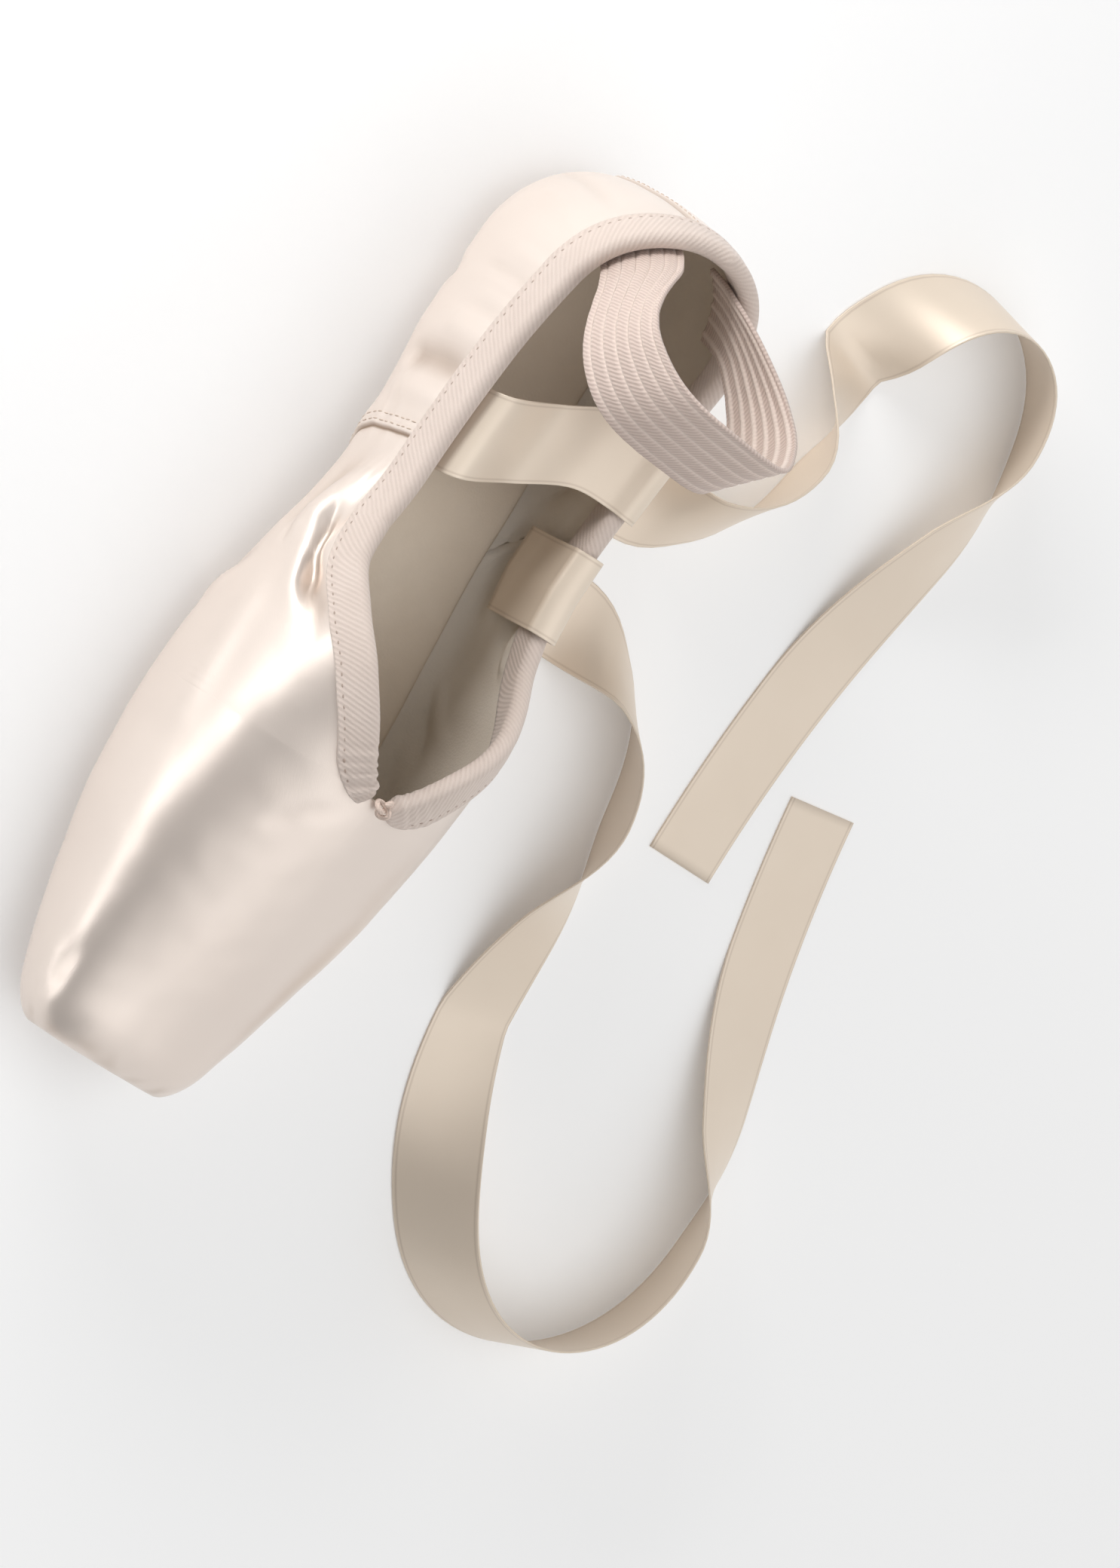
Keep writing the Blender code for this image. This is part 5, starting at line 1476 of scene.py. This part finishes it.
def floor_route(start, rows, step):
    """The ribbon's middle and its left, at places along the floor, from start towards +Y."""
    ends = np.cumsum([0.0] + [row[0] for row in rows])
    headings = np.stack([ends, np.cumsum([90.0] + [row[1] for row in rows])], axis=1)
    leans = np.stack([ends, np.array([0.0] + [row[2] for row in rows])], axis=1)
    count = round(ends[-1] / step)
    length = ends[-1] / count
    x, y = start.x, start.y
    places = []
    for k in range(1, count + 1):
        before = math.radians(smooth(headings, 1, np.float64((k - 0.5) * length)))
        ahead = math.radians(smooth(headings, 1, np.float64(k * length)))
        lean = math.radians(smooth(leans, 1, np.float64(k * length)))
        x += length * math.cos(before)
        y += length * math.sin(before)
        flat = math.cos(lean)
        left = Vector((-math.sin(ahead) * flat, math.cos(ahead) * flat, math.sin(lean)))
        height = RIBBON_HALF * abs(math.sin(lean)) + 0.5 * RIBBON_THICKNESS
        places.append((Vector((x, y, height)), left))
    return places


RIBBON_HALF_SHARES = (0.3, 0.6, 0.88, 0.92, 0.95, 0.975, 1.0)
RIBBON_SHARES = (*(-share for share in reversed(RIBBON_HALF_SHARES)), 0.0, *RIBBON_HALF_SHARES)
SELVAGE_LINE = 0.92
SELVAGE_SHADE = 0.30


def ribbon_piece(name, node, route, floor_rows, finishes):
    """A satin strip along a route, with its own cloth coordinates."""
    lines = [route(share) for share in (1.0, 0.0, -1.0)]
    counts = [max(1, round((b - a).length / RIBBON_STEP)) for a, b in zip(lines[1], lines[1][1:])]
    lines = [spline_through(line, counts) for line in lines]
    for place, left in floor_route(lines[1][-1], floor_rows, 2 * RIBBON_STEP):
        for line, share in zip(lines, (-1.0, 0.0, 1.0)):
            line.append(place + left * (RIBBON_HALF * share))
    front, middle, rear = (np.array(line) for line in lines)
    length = run_lengths(middle)
    rows, uv = [], []
    for share in RIBBON_SHARES:
        across = (rear if share > 0 else front) - middle
        across *= RIBBON_HALF / np.linalg.norm(across, axis=1, keepdims=True)
        rows.append(middle + across * abs(share))
        uv.append(np.stack([length, np.full(len(length), RIBBON_HALF * share)], axis=1))
    grid = np.stack(rows, axis=1)
    made = make_piece(
        name,
        grid.reshape(-1, 3),
        grid_faces(len(grid), len(rows)),
        finishes,
        uv=np.stack(uv, axis=1).reshape(-1, 2),
        shade=np.tile(np.isclose(np.abs(RIBBON_SHARES), SELVAGE_LINE) * SELVAGE_SHADE, len(grid)),
    )
    thicken(made, RIBBON_THICKNESS, offset=0.0, material_offset_rim=1)
    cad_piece(made, "ribbon_satin", node)


light, dark = colour(0.80, 0.69, 0.57), colour(0.75, 0.635, 0.515)
ribbon_finishes = (
    satin_finish("ribbon_satin", light, dark, 0.44, 0.25),
    thread_finish("ribbon_selvage", colour(0.76, 0.65, 0.53)),
)
sewn_s = RIBBON_SEWN - HEEL_AXIS
rear_s = REAR_RIBBON_OVER - HEEL_AXIS
front_s = FRONT_RIBBON_OVER - HEEL_AXIS


def reach_at(x):
    """How far from the middle a ribbon hangs that goes over the collar at x."""
    beside = smooth(LAST, HALF_WIDTH, np.array((x - RIBBON_HALF, x + RIBBON_HALF)))
    return float(beside.max()) + RIBBON_STAND_OFF


def rear_route(share):
    """From inside the near wall across the opening, over the far side."""
    inside = ribbon_inside(sewn_s + RIBBON_HALF * share, -1)
    over = ribbon_over(rear_s + RIBBON_HALF * share, 1, reach_at(REAR_RIBBON_OVER))
    middle = (inside[-1] + over[0]) * 0.5 - Vector((0, 0, RIBBON_SAG))
    return inside + [inside[-1] + REAR_LEAVES, middle, over[0] + REAR_ARRIVES] + over


def front_route(share):
    """From inside the far wall over its own side."""
    inside = ribbon_inside(front_s + RIBBON_HALF * share, 1)
    return inside + ribbon_over(front_s + RIBBON_HALF * share, 1, reach_at(FRONT_RIBBON_OVER))


ribbon_piece("rear_ribbon", "ribbon_rear", rear_route, REAR_RIBBON_FLOOR, ribbon_finishes)
ribbon_piece("front_ribbon", "ribbon_front", front_route, FRONT_RIBBON_FLOOR, ribbon_finishes)

# The room: a plain pale floor, soft studio light and a long lens at the photograph's angle, rolled
# as the photograph shows the shoe.
VIEW_AZIMUTH = 5
VIEW_ELEVATION = 52
VIEW_ROLL = 119
VIEW_MARGIN = 1.05
LENS = 120
SENSOR = 36
PHOTO_WIDTH, PHOTO_HEIGHT = 1486, 2080
FLOOR_HALF = 6.0
# Place, the point it is aimed at, width, height and power of each rectangular light
LIGHTS = {
    "key": ((-0.42, -0.52, 0.20), (-0.06, 0.0, 0.03), 0.5, 0.14, 2.6),
    "strip": ((-0.10, -0.62, 0.09), (0.0, 0.0, 0.06), 1.5, 0.10, 2.0),
    "overhead": ((0.1, 0.3, 1.3), (0.0, 0.0, 0.03), 1.8, 1.4, 5.2),
}
# The wall light's strength by how far up a direction points, and where it points to the far side
WALL_LIGHT = {"From Min": 0.58, "From Max": 0.98, "To Min": 0.08, "To Max": 0.82}
FAR_LIGHT = {"From Min": -0.1, "From Max": 0.5, "To Max": 0.84}

floor_look = {"Base Color": colour(0.9, 0.9, 0.9), "Roughness": 0.8}
floor_glow = {"Emission Color": colour(1.0, 1.0, 1.0), "Emission Strength": 0.10}
floor_finish, _, _ = new_finish("floor", floor_look | floor_glow)
corners = [(x * FLOOR_HALF, y * FLOOR_HALF, 0.0) for x, y in ((-1, -1), (1, -1), (1, 1), (-1, 1))]
make_piece("floor", corners, [(0, 1, 2, 3)], (floor_finish,))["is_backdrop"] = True

azimuth, elevation, roll = (math.radians(v) for v in (VIEW_AZIMUTH, VIEW_ELEVATION, VIEW_ROLL))
level = Vector((math.cos(azimuth), math.sin(azimuth), 0.0))
away = Vector((math.sin(azimuth), -math.cos(azimuth), 0.0))
back = away * math.cos(elevation) + Vector((0.0, 0.0, math.sin(elevation)))
right = level * math.cos(roll) + back.cross(level) * math.sin(roll)
up = back.cross(right)
shown = []
graph = bpy.context.evaluated_depsgraph_get()
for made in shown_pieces():
    shown += [made.matrix_world @ vertex.co for vertex in made.evaluated_get(graph).data.vertices]
shown = np.array(shown)
extent = np.stack([shown @ np.array(right), shown @ np.array(up)], axis=1)
low, high = extent.min(axis=0), extent.max(axis=0)
tall = max(high[1] - low[1], (high[0] - low[0]) * PHOTO_HEIGHT / PHOTO_WIDTH) * VIEW_MARGIN
depth = float(np.mean(shown @ np.array(back)))
distance = tall * LENS / SENSOR
centre = 0.5 * (low + high)
target = right * float(centre[0]) + up * float(centre[1]) + back * depth
lens = bpy.data.cameras.new("camera")
lens.lens = LENS
lens.sensor_width = SENSOR
lens.clip_end = 4 * distance + 10
camera = add_object("camera", lens)
camera.matrix_world = Matrix((right, up, back)).transposed().to_4x4()
camera.location = target + back * distance
bpy.context.scene.camera = camera

for name, (place, aim, wide, high, power) in LIGHTS.items():
    data = bpy.data.lights.new(name, "AREA")
    data.shape = "RECTANGLE"
    data.size, data.size_y = wide, high
    data.energy = power
    made = add_object(name, data)
    made.location = place
    made.rotation_euler = (Vector(aim) - Vector(place)).to_track_quat("-Z", "Y").to_euler()
world = bpy.data.worlds.new("studio")
world.use_nodes = True
sky = world.node_tree
direction = add_node(sky, "ShaderNodeTexCoord").outputs["Generated"]
points_to = add_node(sky, "ShaderNodeSeparateXYZ", {0: direction}).outputs
softly = {"interpolation_type": "SMOOTHSTEP"}
wall_light = feed(sky, "ShaderNodeMapRange", {"Value": points_to[2], **WALL_LIGHT}, **softly)
far_light = {"Value": points_to[1], "To Min": wall_light, **FAR_LIGHT}
sky.links.new(feed(sky, "ShaderNodeMapRange", far_light, **softly), sky.nodes["Background"].inputs[1])
sky.nodes["Background"].inputs[0].default_value = colour(1.0, 1.0, 1.0)
bpy.context.scene.world = world
bpy.context.scene.view_settings.view_transform = "Standard"
